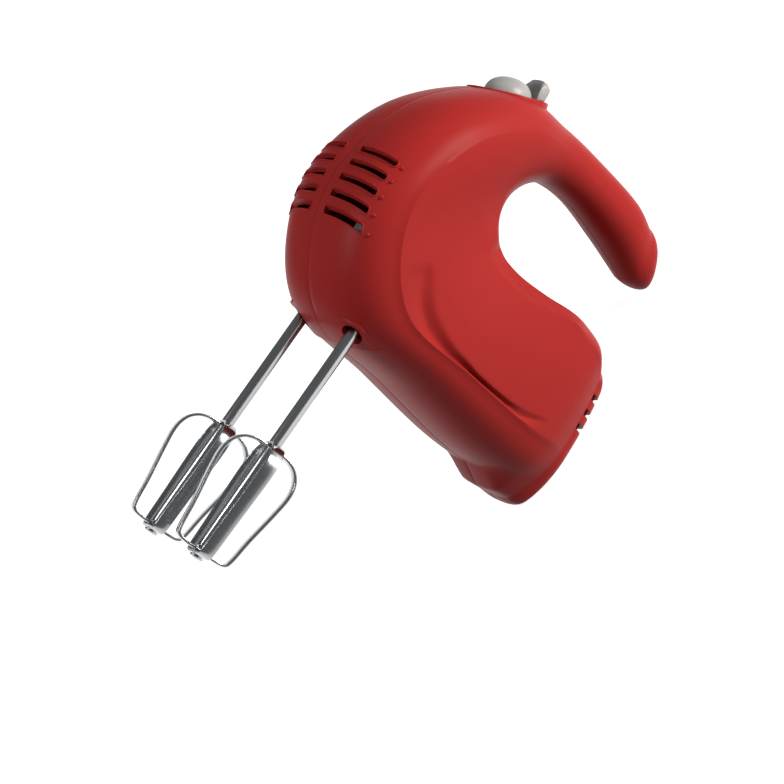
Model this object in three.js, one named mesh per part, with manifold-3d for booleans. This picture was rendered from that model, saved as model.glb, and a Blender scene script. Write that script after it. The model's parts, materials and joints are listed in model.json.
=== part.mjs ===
// Hand mixer, standing on its heel: the beaters lie level and point to -X.
// Millimetres. +X is the mixer's top (handle side), +Y its right side, +Z its front.
// Every piece is drawn from the point between the two beater exits and moved to
// the heel at the end, so that the floor is z = 0 and the heel's centre is the origin.
import * as THREE from 'three';
import { mergeVertices } from 'three/addons/utils/BufferGeometryUtils.js';
import Module from 'manifold-3d';

const wasm = await Module();
wasm.setup();

// ---- driving dimensions ----
const HEEL_Z = -141;
const HEEL_CENTRE_X = 24;
const WALL = 2.5;
const SEAM_GAP = 0.3;
const BEATER_Y = 22;
const TUBE_RADIUS = 3;
const MOTOR_X = 28;
const SHAFT_RADIUS = 3.5;
const ON_SHAFT_BORE = 3.7;
const BEARING_RADIUS = 5.8;
const BEARING_SEAT_RADIUS = 6.1;
const CORE_FRONT = -42;
const CORE_REAR = -78;
const MOTOR_SCREW_PLACES = [[17.5, 22], [-17.5, -22]];
const COVER_SCREW_Y = 7;
const GEAR_TEETH = 24;
const GEAR_RADIUS = 16;
const WORM_STARTS = 2;
const WORM_RADIUS = 8;
const GEAR_PITCH_RADIUS = 15;
const WORM_PITCH_RADIUS = 7;
const TOOTH_DEPTH = 2.4;
const GEAR_BOTTOM = 24;
const GEAR_TOP = 32;
const GEAR_ROOM = 0.6;
const EXIT_RADIUS = 5.6;
const LOOP_TOP = -60.9;
const LOOP_WIDTH = 6.4;
const LOOP_THICKNESS = 1.3;
const LOOP_TURN = 20;
const CONTROL_X = 139.5;
const CONTROL_Z = -8;
const CONTROL_TILT = 25.5;
const BEZEL_HALF_LENGTH = 20.3;
const BEZEL_HALF_WIDTH = 20.5;
const CONTROL_HOLE_RADIUS = 14.6;
const VENT_HEIGHTS = [69.6, 61.7, 53.7, 45.8, 38.4];
const VENT_FACE_Z = 43;
const VENT_LEAN = 0.25;
const VENT_HALF_HEIGHT = 1.5;
const VENT_DEPTH = 17;
const VENT_SPAN = [6.3, 31.5];
const REAR_VENT_HEIGHTS = [54.5, 46.3, 38.3];
const REAR_VENT_SPAN = [16, 36];
const REAR_VENT_FROM_Z = -130.5;
const SCREW_PLACES = [[84, 14], [5.5, -29], [64, -112], [9, -126], [68, -60], [132, -108], [133, -70]];
const HANDLE_FROM_X = 120;
const HANDLE_SCREW_REACH = 7;
const BODY_SCREW_REACH = 14;
const SPRING_RADIUS = 5;
const CORD_PLACE = [66, 0, -136];
const CORD_DIRECTION = [0.6, 0, -0.8];

// The housing is a C: sections from the end of the handle, round the front and
// back along the body to the heel. Each row holds the inner point (x, z), the
// outer point (x, z), the half width, where between them the widest line runs,
// how much of that width is left at the inner rim, and how sharply the widest
// line is creased.
const SECTIONS = [
  [115, -124.5, 143, -113.5, 14.4, 0.50, 0.86, 0.06],
  [120, -100, 146.5, -97.5, 17.8, 0.50, 0.86, 0.08],
  [123, -72.5, 147.5, -70, 16.9, 0.50, 0.86, 0.12],
  [120, -52, 146, -39, 19.4, 0.55, 0.80, 0.20],
  [112, -41, 139, -3, 28.2, 0.61, 0.72, 0.28],
  [100.5, -35, 106, 30.5, 36.1, 0.69, 0.66, 0.32],
  [87.5, -36, 64, 43, 40.7, 0.76, 0.66, 0.32],
  [78.5, -44, 28.5, 35.5, 41.5, 0.77, 0.68, 0.32],
  [76, -57.5, -0.5, 7, 42.1, 0.76, 0.72, 0.32],
  [77.5, -77, -3.5, -43, 42.4, 0.74, 0.76, 0.32],
  [81, -99.5, -6, -87, 40.7, 0.72, 0.80, 0.32],
  [81, -117, -4.5, -114.5, 36.2, 0.70, 0.82, 0.25],
  [73, -130, -1, -132, 28.3, 0.66, 0.85, 0.12],
];
const NOSE_SPACING = 0.89;
const NOSE_FALL = 2.5;
const NOSE_ROUNDING = 2.8;
const RIM_DEPTH = 12;
const RIM_SHARE = 0.28;
// How each end is rounded off: depth, sizes left at the end, the x they shrink to, shift towards +X.
const HANDLE_END = { depth: 14, alongX: 0.38, alongY: 0.38, centreX: 128.2, shift: -1.8 };
// The heel's rings are also levelled, so that it ends in a flat.
const HEEL_END = { depth: 9, alongX: 0.79, alongY: 0.62, centreX: 32.5, shift: -11.4, level: HEEL_Z + 9 };
// Radius and depth below the top hub of one side of a beater loop.
const LOOP_PROFILE = [
  [4, 0], [9, 0.4], [14.2, 2.8], [18, 7.6], [19.4, 15], [18.2, 26.5],
  [15.9, 42], [14.5, 54.5], [12.6, 58.4], [8, 59.4], [4, 59.4],
];

// ---- materials ----
function material(colour, roughness, metalness) {
  return new THREE.MeshStandardMaterial({ color: colour, roughness, metalness });
}
const RED = material(0xb3231f, 0.32, 0);
const GREY = material(0xb4b1ac, 0.4, 0);
const BLACK = material(0x1c1c1e, 0.55, 0);
const NYLON = material(0xe6e2d6, 0.5, 0);
const STEEL = material(0x8d9094, 0.35, 1);
const CHROME = material(0xc9ccd0, 0.12, 1);
const LAMINATION = material(0x55585c, 0.5, 1);
const COPPER = material(0xb8692d, 0.3, 1);
const BRONZE = material(0xa9792f, 0.4, 1);
const CARBON = material(0x202225, 0.8, 0);
const BOARD = material(0x24603a, 0.6, 0);
const ALUMINIUM = material(0xa6a8aa, 0.4, 1);

// ---- solids ----
function toSolid(geometry) {
  const bare = geometry.clone();
  bare.deleteAttribute('normal');
  bare.deleteAttribute('uv');
  const merged = mergeVertices(bare, 1e-4);
  return new wasm.Manifold(new wasm.Mesh({
    numProp: 3,
    vertProperties: new Float32Array(merged.attributes.position.array),
    triVerts: new Uint32Array(merged.index.array),
  }));
}

function toGeometry(solid) {
  const mesh = solid.getMesh();
  const geometry = new THREE.BufferGeometry();
  geometry.setAttribute('position', new THREE.BufferAttribute(new Float32Array(mesh.vertProperties), 3));
  geometry.setIndex(new THREE.BufferAttribute(new Uint32Array(mesh.triVerts), 1));
  geometry.computeVertexNormals();
  return geometry;
}

function box(x0, x1, y0, y1, z0, z1) {
  const geometry = new THREE.BoxGeometry(x1 - x0, y1 - y0, z1 - z0);
  geometry.translate((x0 + x1) / 2, (y0 + y1) / 2, (z0 + z1) / 2);
  return toSolid(geometry);
}

// Solid of revolution: profile of [radius, height] pairs, height along `axis` from `origin`.
function turned(profile, origin, axis, segments = 32) {
  const points = profile.map(([radius, height]) => new THREE.Vector2(radius, height));
  const geometry = new THREE.LatheGeometry(points, segments);
  const turn = new THREE.Quaternion().setFromUnitVectors(at(0, 1, 0), axis.clone().normalize());
  geometry.applyQuaternion(turn);
  geometry.translate(origin.x, origin.y, origin.z);
  return toSolid(geometry);
}

function disc(radius, from, to, segments = 32) {
  const axis = new THREE.Vector3().subVectors(to, from);
  const length = axis.length();
  return turned([[0, 0], [radius, 0], [radius, length], [0, length]], from, axis, segments);
}

function ring(inner, outer, from, to, segments = 32) {
  const axis = new THREE.Vector3().subVectors(to, from);
  const length = axis.length();
  const profile = [[inner, 0], [outer, 0], [outer, length], [inner, length], [inner, 0]];
  return turned(profile, from, axis, segments);
}

function at(x, y, z) {
  return new THREE.Vector3(x, y, z);
}

// Prism along Z from a closed outline of [x, y] points, twisted evenly along its length.
function prism(outline, z0, z1, twist = 0, steps = 1) {
  const count = outline.length;
  const positions = [];
  const index = [];
  for (let k = 0; k <= steps; k += 1) {
    const angle = twist * (k / steps - 0.5);
    for (const [x, y] of outline) {
      positions.push(x * Math.cos(angle) - y * Math.sin(angle));
      positions.push(x * Math.sin(angle) + y * Math.cos(angle));
      positions.push(z0 + (z1 - z0) * (k / steps));
    }
  }
  for (let k = 0; k < steps; k += 1) {
    for (let i = 0; i < count; i += 1) {
      const a = k * count + i;
      const b = k * count + ((i + 1) % count);
      index.push(a, b, b + count, a, b + count, a + count);
    }
  }
  const flat = outline.map(([x, y]) => new THREE.Vector2(x, y));
  for (const [a, b, c] of THREE.ShapeUtils.triangulateShape(flat, [])) {
    const top = steps * count;
    index.push(a, c, b, top + a, top + b, top + c);
  }
  const geometry = new THREE.BufferGeometry();
  geometry.setAttribute('position', new THREE.BufferAttribute(new Float32Array(positions), 3));
  geometry.setIndex(index);
  return toSolid(geometry);
}

// Outline with evenly spaced teeth; `share` is the part of the pitch a tooth fills at its root.
function toothedOutline(teeth, root, tip, share) {
  const outline = [];
  const pitch = (2 * Math.PI) / teeth;
  for (let i = 0; i < teeth; i += 1) {
    const steps = [[-share / 2, root], [-share / 4, tip], [share / 4, tip], [share / 2, root]];
    for (const [fraction, radius] of steps) {
      const angle = (i + fraction) * pitch;
      outline.push([radius * Math.cos(angle), radius * Math.sin(angle)]);
    }
  }
  return outline;
}

function sector(inner, outer, startDegrees, endDegrees, z0, z1) {
  const steps = Math.max(2, Math.round((endDegrees - startDegrees) / 15));
  const outline = [];
  for (let i = 0; i <= steps; i += 1) {
    const angle = THREE.MathUtils.degToRad(startDegrees + ((endDegrees - startDegrees) * i) / steps);
    outline.push([outer * Math.cos(angle), outer * Math.sin(angle)]);
  }
  for (let i = steps; i >= 0; i -= 1) {
    const angle = THREE.MathUtils.degToRad(startDegrees + ((endDegrees - startDegrees) * i) / steps);
    outline.push([inner * Math.cos(angle), inner * Math.sin(angle)]);
  }
  return prism(outline, z0, z1);
}

function union(solids) {
  return solids.reduce((sum, solid) => sum.add(solid));
}

// ---- housing skin ----
// Smooth row between the given sections (Catmull-Rom through each column).
function sectionAt(rows, position) {
  const i = Math.min(Math.floor(position), rows.length - 2);
  const t = position - i;
  return rows[i].map((value, column) => {
    const before = rows[Math.max(i - 1, 0)][column];
    const after = rows[i + 1][column];
    const later = rows[Math.min(i + 2, rows.length - 1)][column];
    const slopeA = (after - before) / 2;
    const slopeB = (later - value) / 2;
    const t2 = t * t;
    const t3 = t2 * t;
    return (2 * t3 - 3 * t2 + 1) * value + (t3 - 2 * t2 + t) * slopeA
      + (3 * t2 - 2 * t3) * after + (t3 - t2) * slopeB;
  });
}

// Half outline of one section as [distance from the inner point, half width] pairs.
function halfOutline(length, row, inset) {
  const [, , , , width, ridge, rim, crease] = row;
  const ridgeAt = ridge * length;
  const rimAt = Math.min(RIM_SHARE * length, RIM_DEPTH);
  const rimWidth = width * rim;
  const nose = length - ridgeAt - inset;
  const nosePoints = inset > 0 ? 5 : 6;
  const outline = [];
  for (let i = 0; i <= nosePoints; i += 1) {
    const out = Math.cos((i / nosePoints) * (Math.PI / 2)) ** NOSE_SPACING;
    const fullness = Math.max(1 - crease * out - (1 - crease) * out ** NOSE_FALL, 0);
    outline.push([ridgeAt + nose * out, (width - inset) * fullness ** (1 / NOSE_ROUNDING)]);
  }
  for (let i = 1; i <= 2; i += 1) {
    const share = i / 2;
    outline.push([ridgeAt + (rimAt - ridgeAt) * share, width + (rimWidth - width) * share - inset]);
  }
  for (let i = 1; i <= 3; i += 1) {
    const angle = (i / 3) * (Math.PI / 2);
    outline.push([rimAt - (rimAt - inset) * Math.sin(angle), (rimWidth - inset) * Math.cos(angle)]);
  }
  return outline;
}

function sectionRing(row, inset) {
  const [ix, iz, ox, oz] = row;
  const length = Math.hypot(ox - ix, oz - iz);
  const dx = (ox - ix) / length;
  const dz = (oz - iz) / length;
  const half = halfOutline(length, row, inset);
  const left = half.map(([along, y]) => at(ix + along * dx, -y, iz + along * dz));
  const right = half.slice(1, -1).reverse().map(([along, y]) => at(ix + along * dx, y, iz + along * dz));
  return left.concat(right);
}

// Rings that round a section off towards -Z as `end` says.
function endRings(base, end, inset, steps) {
  const depth = end.depth - inset;
  const rings = [];
  for (let k = 1; k <= steps; k += 1) {
    const angle = (k / steps) * (Math.PI / 2);
    const left = Math.cos(angle);
    const scaleX = end.alongX + (1 - end.alongX) * left;
    const scaleY = end.alongY + (1 - end.alongY) * left;
    rings.push(base.map((point) => {
      const level = end.level ?? point.z;
      return at(
        end.centreX + (point.x - end.centreX) * scaleX + end.shift * (1 - left),
        point.y * scaleY,
        point.z + (level - point.z) * (1 - left) - depth * Math.sin(angle),
      );
    }));
  }
  return rings;
}

function skin(inset) {
  const body = [];
  const last = SECTIONS.length - 1;
  const steps = inset > 0 ? 22 : 28;
  for (let k = 0; k <= steps; k += 1) {
    body.push(sectionRing(sectionAt(SECTIONS, (k / steps) * last), inset));
  }
  const handleEnd = endRings(body[0], HANDLE_END, inset, 4).reverse();
  const heel = endRings(body[body.length - 1], HEEL_END, inset, 3);
  const rings = handleEnd.concat(body, heel);
  const count = rings[0].length;
  const positions = rings.flat().flatMap((point) => [point.x, point.y, point.z]);
  const index = [];
  for (let k = 0; k < rings.length - 1; k += 1) {
    for (let i = 0; i < count; i += 1) {
      const a = k * count + i;
      const b = k * count + ((i + 1) % count);
      index.push(a, b + count, b, a, a + count, b + count);
    }
  }
  for (const [start, flip] of [[0, false], [(rings.length - 1) * count, true]]) {
    const ringPoints = rings[start / count];
    const centre = ringPoints.reduce((sum, point) => sum.add(point.clone()), at(0, 0, 0)).divideScalar(count);
    const middle = positions.length / 3;
    positions.push(centre.x, centre.y, centre.z);
    for (let i = 0; i < count; i += 1) {
      const a = start + i;
      const b = start + ((i + 1) % count);
      index.push(...(flip ? [middle, b, a] : [middle, a, b]));
    }
  }
  const geometry = new THREE.BufferGeometry();
  geometry.setAttribute('position', new THREE.BufferAttribute(new Float32Array(positions), 3));
  geometry.setIndex(index);
  return toSolid(geometry);
}

// ---- control group frame: n points out of the top, t runs back along the handle ----
const tilt = THREE.MathUtils.degToRad(CONTROL_TILT);
const CONTROL_OUT = at(Math.cos(tilt), 0, Math.sin(tilt));
const CONTROL_BACK = at(Math.sin(tilt), 0, -Math.cos(tilt));

function control(back, side, out) {
  return at(CONTROL_X, side, CONTROL_Z)
    .addScaledVector(CONTROL_OUT, out)
    .addScaledVector(CONTROL_BACK, back);
}

function turnedControl(profile, segments = 32) {
  return turned(profile, control(0, 0, 0), CONTROL_OUT, segments);
}

// Extrusion across the mixer of an outline of [back, out] points in the control frame.
function controlSlab(outline, halfWidth) {
  const points = outline.map(([back, out]) => {
    const place = control(back, 0, out);
    return [place.x, place.z];
  });
  return slab(points, -halfWidth, halfWidth);
}

// Extrusion along Y of an outline of [x, z] points.
function slab(outline, y0, y1) {
  const shape = new THREE.Shape(outline.map(([x, z]) => new THREE.Vector2(x, z)));
  const geometry = new THREE.ExtrudeGeometry(shape, { depth: y1 - y0, bevelEnabled: false });
  geometry.rotateX(Math.PI / 2);
  geometry.translate(0, y1, 0);
  return toSolid(geometry);
}

function makeBezel() {
  const shape = new THREE.Shape();
  shape.absellipse(0, 0, BEZEL_HALF_LENGTH - 1.2, BEZEL_HALF_WIDTH - 1.2, 0, 2 * Math.PI);
  const geometry = new THREE.ExtrudeGeometry(shape, {
    depth: 6.8, bevelEnabled: true, bevelSize: 1.2, bevelThickness: 1.2, bevelSegments: 1, curveSegments: 12,
  });
  geometry.translate(0, 0, -8);
  const frame = new THREE.Matrix4().makeBasis(CONTROL_BACK, at(0, 1, 0), CONTROL_OUT);
  geometry.applyMatrix4(frame);
  const centre = control(0, 0, 0);
  geometry.translate(centre.x, centre.y, centre.z);
  return toSolid(geometry);
}

function makeFoot() {
  const shape = new THREE.Shape();
  shape.moveTo(14, -110);
  shape.lineTo(-5, -110);
  shape.lineTo(-10, -122);
  shape.lineTo(-9.5, -131);
  shape.quadraticCurveTo(-8.5, -136, -3, HEEL_Z + 2);
  shape.lineTo(14, HEEL_Z + 2);
  const geometry = new THREE.ExtrudeGeometry(shape, {
    depth: 30, bevelEnabled: true, bevelSize: 2, bevelThickness: 4, bevelSegments: 2, curveSegments: 3,
  });
  geometry.rotateX(Math.PI / 2);
  geometry.translate(0, 15, 0);
  return toSolid(geometry);
}

// ---- housing halves ----
function makeHousingHalves() {
  const outer = skin(0).add(makeBezel()).add(makeFoot());
  const cavity = skin(WALL);
  const shell = outer.subtract(cavity);
  const cutters = [];
  for (const side of [-1, 1]) {
    const y = side * BEATER_Y;
    cutters.push(disc(EXIT_RADIUS, at(-20, y, 0), at(14, y, 0), 24));
    const pocketFrom = at(GEAR_BOTTOM - GEAR_ROOM, y, 0);
    const pocketTo = at(GEAR_TOP + GEAR_ROOM, y, 0);
    cutters.push(disc(GEAR_RADIUS + GEAR_ROOM, pocketFrom, pocketTo));
    for (const height of VENT_HEIGHTS) {
      cutters.push(slab(ventOutline(height), ...acrossSide(side, VENT_SPAN)));
    }
    for (const height of REAR_VENT_HEIGHTS) {
      const low = height - VENT_HALF_HEIGHT;
      const high = height + VENT_HALF_HEIGHT;
      cutters.push(box(low, high, ...acrossSide(side, REAR_VENT_SPAN), HEEL_Z - 8, REAR_VENT_FROM_Z));
    }
  }
  cutters.push(turnedControl([[0, -9], [CONTROL_HOLE_RADIUS, -9], [CONTROL_HOLE_RADIUS, 6], [0, 6]], 40));
  const cord = cordPlace();
  cutters.push(disc(5.3, cord.inside, cord.outside, 20));
  let both = shell.subtract(union(cutters));
  // Ribs that carry the motor and the gear frame, kept inside the skin.
  const stator = box(MOTOR_X - 23.4, MOTOR_X + 23.4, -27.4, 27.4, -200, 100);
  const ribs = union([
    box(-12, 40, -60, 60, -48.5, -46.3),
    box(-12, 40, -60, 60, -73.5, -71.3),
  ]).subtract(stator);
  const shelves = union([
    box(8.9, 11.7, -60, -24, -20, -11),
    box(8.9, 11.7, 24, 60, -20, -11),
    box(-10, 7.6, -60, 60, -106.8, -104.2),
  ]);
  const inside = skin(0.8);
  both = both.add(ribs.add(shelves).intersect(inside));
  // A key on the left half crosses the seam in the middle of the heel.
  const key = box(16, 32, -1, 4.5, -170, -128);
  const keyRoom = box(16 - SEAM_GAP, 32 + SEAM_GAP, -1, 4.5 + SEAM_GAP, -170, -128);
  const halves = {};
  for (const side of [-1, 1]) {
    const half = side < 0
      ? box(-40, 170, -60, -SEAM_GAP / 2, -170, 70).add(key)
      : box(-40, 170, SEAM_GAP / 2, 60, -170, 70).subtract(keyRoom);
    let shellHalf = both.intersect(half);
    for (const [x, z] of SCREW_PLACES) {
      const boss = disc(3.8, at(x, side * SEAM_GAP / 2, z), at(x, side * 44, z), 10).intersect(inside);
      shellHalf = shellHalf.add(boss);
    }
    for (const [x, z] of SCREW_PLACES) {
      const reach = screwReach(x);
      if (side < 0) {
        shellHalf = shellHalf.subtract(disc(1.6, at(x, -10, z), at(x, 5, z), 8));
      } else {
        shellHalf = shellHalf.subtract(disc(1.9, at(x, -5, z), at(x, 60, z), 8));
        shellHalf = shellHalf.subtract(disc(3.5, at(x, reach, z), at(x, 60, z), 10));
      }
    }
    halves[side] = shellHalf;
  }
  return halves;
}

// A front vent seen from the side: a slot that leans with the housing's front.
function ventOutline(height) {
  const lean = VENT_DEPTH * VENT_LEAN;
  return [
    [height - lean - VENT_HALF_HEIGHT, VENT_FACE_Z - VENT_DEPTH],
    [height + lean - VENT_HALF_HEIGHT, VENT_FACE_Z + VENT_DEPTH],
    [height + lean + VENT_HALF_HEIGHT, VENT_FACE_Z + VENT_DEPTH],
    [height - lean + VENT_HALF_HEIGHT, VENT_FACE_Z - VENT_DEPTH],
  ];
}

// [from, to] across the mixer of a span given from the centre plane outwards.
function acrossSide(side, [near, far]) {
  return side < 0 ? [-far, -near] : [near, far];
}

// How far from the centre plane a screw head sits in the right half: less in the narrow handle.
function screwReach(x) {
  return x > HANDLE_FROM_X ? HANDLE_SCREW_REACH : BODY_SCREW_REACH;
}

function makeHousingScrew(x, z) {
  const head = screwReach(x) + SEAM_GAP;
  const shank = disc(1.3, at(x, -9, z), at(x, head + 0.5, z), 8);
  return shank.add(disc(3, at(x, head, z), at(x, head + 2, z), 12));
}

function cordPlace() {
  const direction = at(...CORD_DIRECTION);
  const surface = at(...CORD_PLACE);
  return {
    direction,
    outside: surface.clone().addScaledVector(direction, 9),
    inside: surface.clone().addScaledVector(direction, -14),
    surface,
  };
}

function makeCordBush() {
  const { direction, surface } = cordPlace();
  const start = surface.clone().addScaledVector(direction, -9);
  const profile = [[2.8, 0], [7.2, 0], [7.2, 2.2], [5, 2.2], [5, 8.6], [4.4, 9.2], [2.8, 9.2], [2.8, 0]];
  return turned(profile, start, direction, 20);
}

// ---- control group ----
function makeEjectButton() {
  const profile = [
    [0, 8.2], [3.7, 7.8], [6.9, 6.6], [9.1, 4.6], [10.4, 2], [10.7, -0.5], [10.7, -5],
    [9.3, -5], [9.3, -0.5], [8.2, 3], [6, 4.9], [3.5, 5.6], [3.5, -12], [2.6, -14.6], [0, -15.5],
  ];
  return turnedControl(profile.reverse(), 26);
}

function makeSpeedSelector() {
  const dial = turnedControl([[11.1, -6.6], [14.1, -6.6], [14.1, -0.9], [11.1, -0.9], [11.1, -6.6]], 26);
  const tab = controlSlab([
    [11.3, -3], [13.6, -3], [13.7, 0.9], [16.3, 0.9], [17.7, 3.5], [18.8, 7.2],
    [18.2, 9.2], [16.6, 9.9], [14.6, 8.9], [11.6, 5.9], [10.6, 4.2], [11.3, 1.5],
  ], 5.2);
  return dial.add(tab);
}

function makeControlBase() {
  return turnedControl([
    [4.1, -13.5], [12.7, -13.5], [12.7, -9.4], [16.2, -9.4],
    [16.2, -7.3], [11.2, -7.3], [11.2, -12], [4.1, -12],
    [4.1, -13.5],
  ], 24);
}

function makeEjectSpring() {
  class Coil extends THREE.Curve {
    getPoint(t) {
      const angle = t * 4.5 * 2 * Math.PI;
      const out = -5.1 + 9.4 * t;
      return control(SPRING_RADIUS * Math.cos(angle), SPRING_RADIUS * Math.sin(angle), out);
    }
  }
  const section = new THREE.Shape();
  section.absarc(0, 0, 0.5, 0, 2 * Math.PI);
  const geometry = new THREE.ExtrudeGeometry(section, {
    steps: 40, curveSegments: 2, bevelEnabled: false, extrudePath: new Coil(),
  });
  return toSolid(geometry);
}

function makeEjectRod() {
  const pad = box(121.6, 124.8, -5.5, 5.5, -21, -10);
  const bar = box(51, 122, -3.5, 3.5, -13, -7);
  const fork = box(47.8, 52, -25.4, 25.4, -13, 3.4);
  const fingers = [-BEATER_Y, BEATER_Y].map((y) => disc(2.7, at(36.6, y, 0), at(48, y, 0), 16));
  return union([pad, bar, fork, ...fingers]);
}

function makeEjectGuide() {
  const block = box(86, 92, -14, 14, -17, -3);
  return block.subtract(box(80, 100, -4, 4, -13.5, -6.5));
}

function makeSpeedSwitch() {
  return box(126, 133.2, -9, 9, -58, -40);
}

function makeSwitchBoard() {
  return box(133.6, 135.2, -10, 10, -60, -37);
}

// ---- motor ----
function aroundMotor(solid) {
  return solid.translate([MOTOR_X, 0, 0]);
}

function onMotor(z) {
  return at(MOTOR_X, 0, z);
}

function shaftBore() {
  return disc(ON_SHAFT_BORE, onMotor(-120), onMotor(30), 20);
}

function makeShaft() {
  return disc(SHAFT_RADIUS, onMotor(-112), onMotor(21), 20);
}

function makeWorm() {
  const lead = (2 * Math.PI * GEAR_PITCH_RADIUS * WORM_STARTS) / GEAR_TEETH;
  const length = 22;
  const outline = [];
  const root = WORM_RADIUS - TOOTH_DEPTH;
  for (let start = 0; start < WORM_STARTS; start += 1) {
    const tooth = [[-0.2, root], [-0.09, WORM_RADIUS], [0.09, WORM_RADIUS], [0.2, root]];
    const valley = [[0.35, root], [0.5, root], [0.65, root]];
    for (const [fraction, radius] of tooth.concat(valley)) {
      const angle = ((start + fraction) / WORM_STARTS) * 2 * Math.PI;
      outline.push([radius * Math.cos(angle), radius * Math.sin(angle)]);
    }
  }
  const twist = (2 * Math.PI * length) / lead;
  const thread = prism(outline, -length / 2, length / 2, twist, 24);
  return aroundMotor(thread.subtract(disc(3.8, at(0, 0, -20), at(0, 0, 20), 20)));
}

function makeArmatureCore() {
  const outline = toothedOutline(12, 11.5, 15.5, 0.9);
  return aroundMotor(prism(outline, CORE_REAR, CORE_FRONT)).subtract(shaftBore());
}

function makeWinding(z0, z1) {
  const length = z1 - z0;
  const profile = [
    [3.8, 0], [11, 0], [14.4, length * 0.25], [14.4, length * 0.75], [11, length], [3.8, length], [3.8, 0],
  ];
  return turned(profile, onMotor(z0), at(0, 0, 1), 18);
}

function makeCommutator() {
  const outline = toothedOutline(12, 8.6, 9.5, 0.94);
  return aroundMotor(prism(outline, -101, -86)).subtract(shaftBore());
}

function makeFan() {
  const hub = disc(7, onMotor(-33), onMotor(-24), 20);
  const plate = disc(17.5, onMotor(-33), onMotor(-31.5), 24);
  const blades = [];
  for (let i = 0; i < 9; i += 1) {
    const blade = box(5, 17, -0.6, 0.6, -32, -24).rotate([0, 0, i * 40]);
    blades.push(aroundMotor(blade));
  }
  return union([hub, plate, ...blades]).subtract(shaftBore());
}

function makeStatorCore() {
  const outline = [[-23, -22], [-18, -27], [18, -27], [23, -22], [23, 22], [18, 27], [-18, 27], [-23, 22]];
  let core = prism(outline, CORE_REAR, CORE_FRONT).subtract(disc(16.2, at(0, 0, -90), at(0, 0, -30), 40));
  core = core.subtract(sector(15, 22.4, 63, 117, -90, -30));
  core = core.subtract(sector(15, 22.4, 243, 297, -90, -30));
  for (const [x, y] of MOTOR_SCREW_PLACES) {
    core = core.subtract(disc(1.9, at(x, y, -90), at(x, y, -30), 12));
  }
  return aroundMotor(core);
}

// One field coil: half rings in front of and behind the core, joined through the core's windows.
function makeFieldCoil(turn) {
  const pieces = [
    sector(17, 21.8, -86.5, 86.5, -41.6, -36),
    sector(17, 21.8, -86.5, 86.5, -84, -78.4),
    sector(17, 21.8, -86.5, -66, -79, -41),
    sector(17, 21.8, 66, 86.5, -79, -41),
  ];
  return aroundMotor(union(pieces).rotate([0, 0, turn]));
}

function makeRearFrame() {
  const plate = box(-20, 20, -26, 26, -107, -104);
  const legs = [[-18.5, -24.5], [14.5, -24.5], [-18.5, 20.5], [14.5, 20.5]]
    .map(([x, y]) => box(x, x + 4, y, y + 4, -105, -78.3));
  const bore = disc(BEARING_SEAT_RADIUS, at(0, 0, -120), at(0, 0, -90), 24);
  let frame = union([plate, ...legs]).subtract(bore);
  for (const [x, y] of MOTOR_SCREW_PLACES) {
    frame = frame.subtract(disc(1.9, at(x, y, -120), at(x, y, -70), 12));
  }
  return aroundMotor(frame);
}

function makeMotorScrew(x, y) {
  const place = (z) => at(MOTOR_X + x, y, z);
  return disc(1.5, place(-107.5), place(-43), 12).add(disc(3, place(-109.3), place(-107.2), 14));
}

function makeBearing(z0, z1) {
  return ring(SHAFT_RADIUS + 0.25, BEARING_RADIUS, onMotor(z0), onMotor(z1), 18);
}

function makeBrushHolder(side) {
  const tube = box(-4.6, 4.6, 10.6, 25, -98.4, -89).subtract(box(-3.4, 3.4, 5, 30, -96.4, -91));
  return aroundMotor(side > 0 ? tube : tube.rotate([0, 0, 180]));
}

function makeBrush(side) {
  const block = box(-3.1, 3.1, 9.8, 20, -96.1, -91.3);
  return aroundMotor(side > 0 ? block : block.rotate([0, 0, 180]));
}

// ---- gears ----
function makeGear(y) {
  const outline = toothedOutline(GEAR_TEETH, GEAR_RADIUS - TOOTH_DEPTH, GEAR_RADIUS, 0.5);
  const lead = (2 * Math.PI * GEAR_PITCH_RADIUS * WORM_STARTS) / GEAR_TEETH;
  const helix = lead / (2 * Math.PI * WORM_PITCH_RADIUS);
  const face = GEAR_TOP - GEAR_BOTTOM;
  const twist = (face * helix) / GEAR_PITCH_RADIUS;
  const wheel = prism(outline, -face / 2, face / 2, twist, 2);
  const hub = disc(6.5, at(0, 0, 9.5 - MOTOR_X), at(0, 0, 38 - MOTOR_X), 24);
  const bore = disc(3.4, at(0, 0, -40), at(0, 0, 40), 24);
  const slots = box(-5, 5, -1.1, 1.1, -40, 40).rotate([0, 0, 90 - LOOP_TURN]);
  const gear = wheel.add(hub).subtract(bore).subtract(slots);
  // Local z becomes mixer x.
  return gear.rotate([0, 90, 0]).translate([MOTOR_X, y, 0]);
}

function makeGearFrame() {
  const plate = box(12, 15, -32, 32, -20, 5.5);
  const upright = box(12, 38.7, -9, 9, -20, -16);
  const bore = disc(BEARING_SEAT_RADIUS, onMotor(-30), onMotor(-5), 24);
  let frame = plate.add(upright).subtract(bore);
  for (const y of [-BEATER_Y, BEATER_Y]) {
    frame = frame.subtract(disc(8.9, at(5, y, 0), at(20, y, 0), 28));
  }
  for (const y of [-COVER_SCREW_Y, COVER_SCREW_Y]) {
    frame = frame.subtract(disc(1.1, at(31, y, -18), at(50, y, -18), 10));
  }
  return frame;
}

function makeGearCover() {
  const plate = box(39, 41.3, -32, 32, -20, 19);
  const upright = box(19.5, 40, -8, 8, 15, 19);
  const bore = disc(BEARING_SEAT_RADIUS, onMotor(5), onMotor(30), 24);
  let cover = plate.add(upright).subtract(bore);
  for (const y of [-BEATER_Y, BEATER_Y]) {
    cover = cover.subtract(disc(3.6, at(30, y, 0), at(50, y, 0), 16));
  }
  for (const y of [-COVER_SCREW_Y, COVER_SCREW_Y]) {
    cover = cover.subtract(disc(1.4, at(30, y, -18), at(50, y, -18), 10));
  }
  return cover;
}

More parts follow.
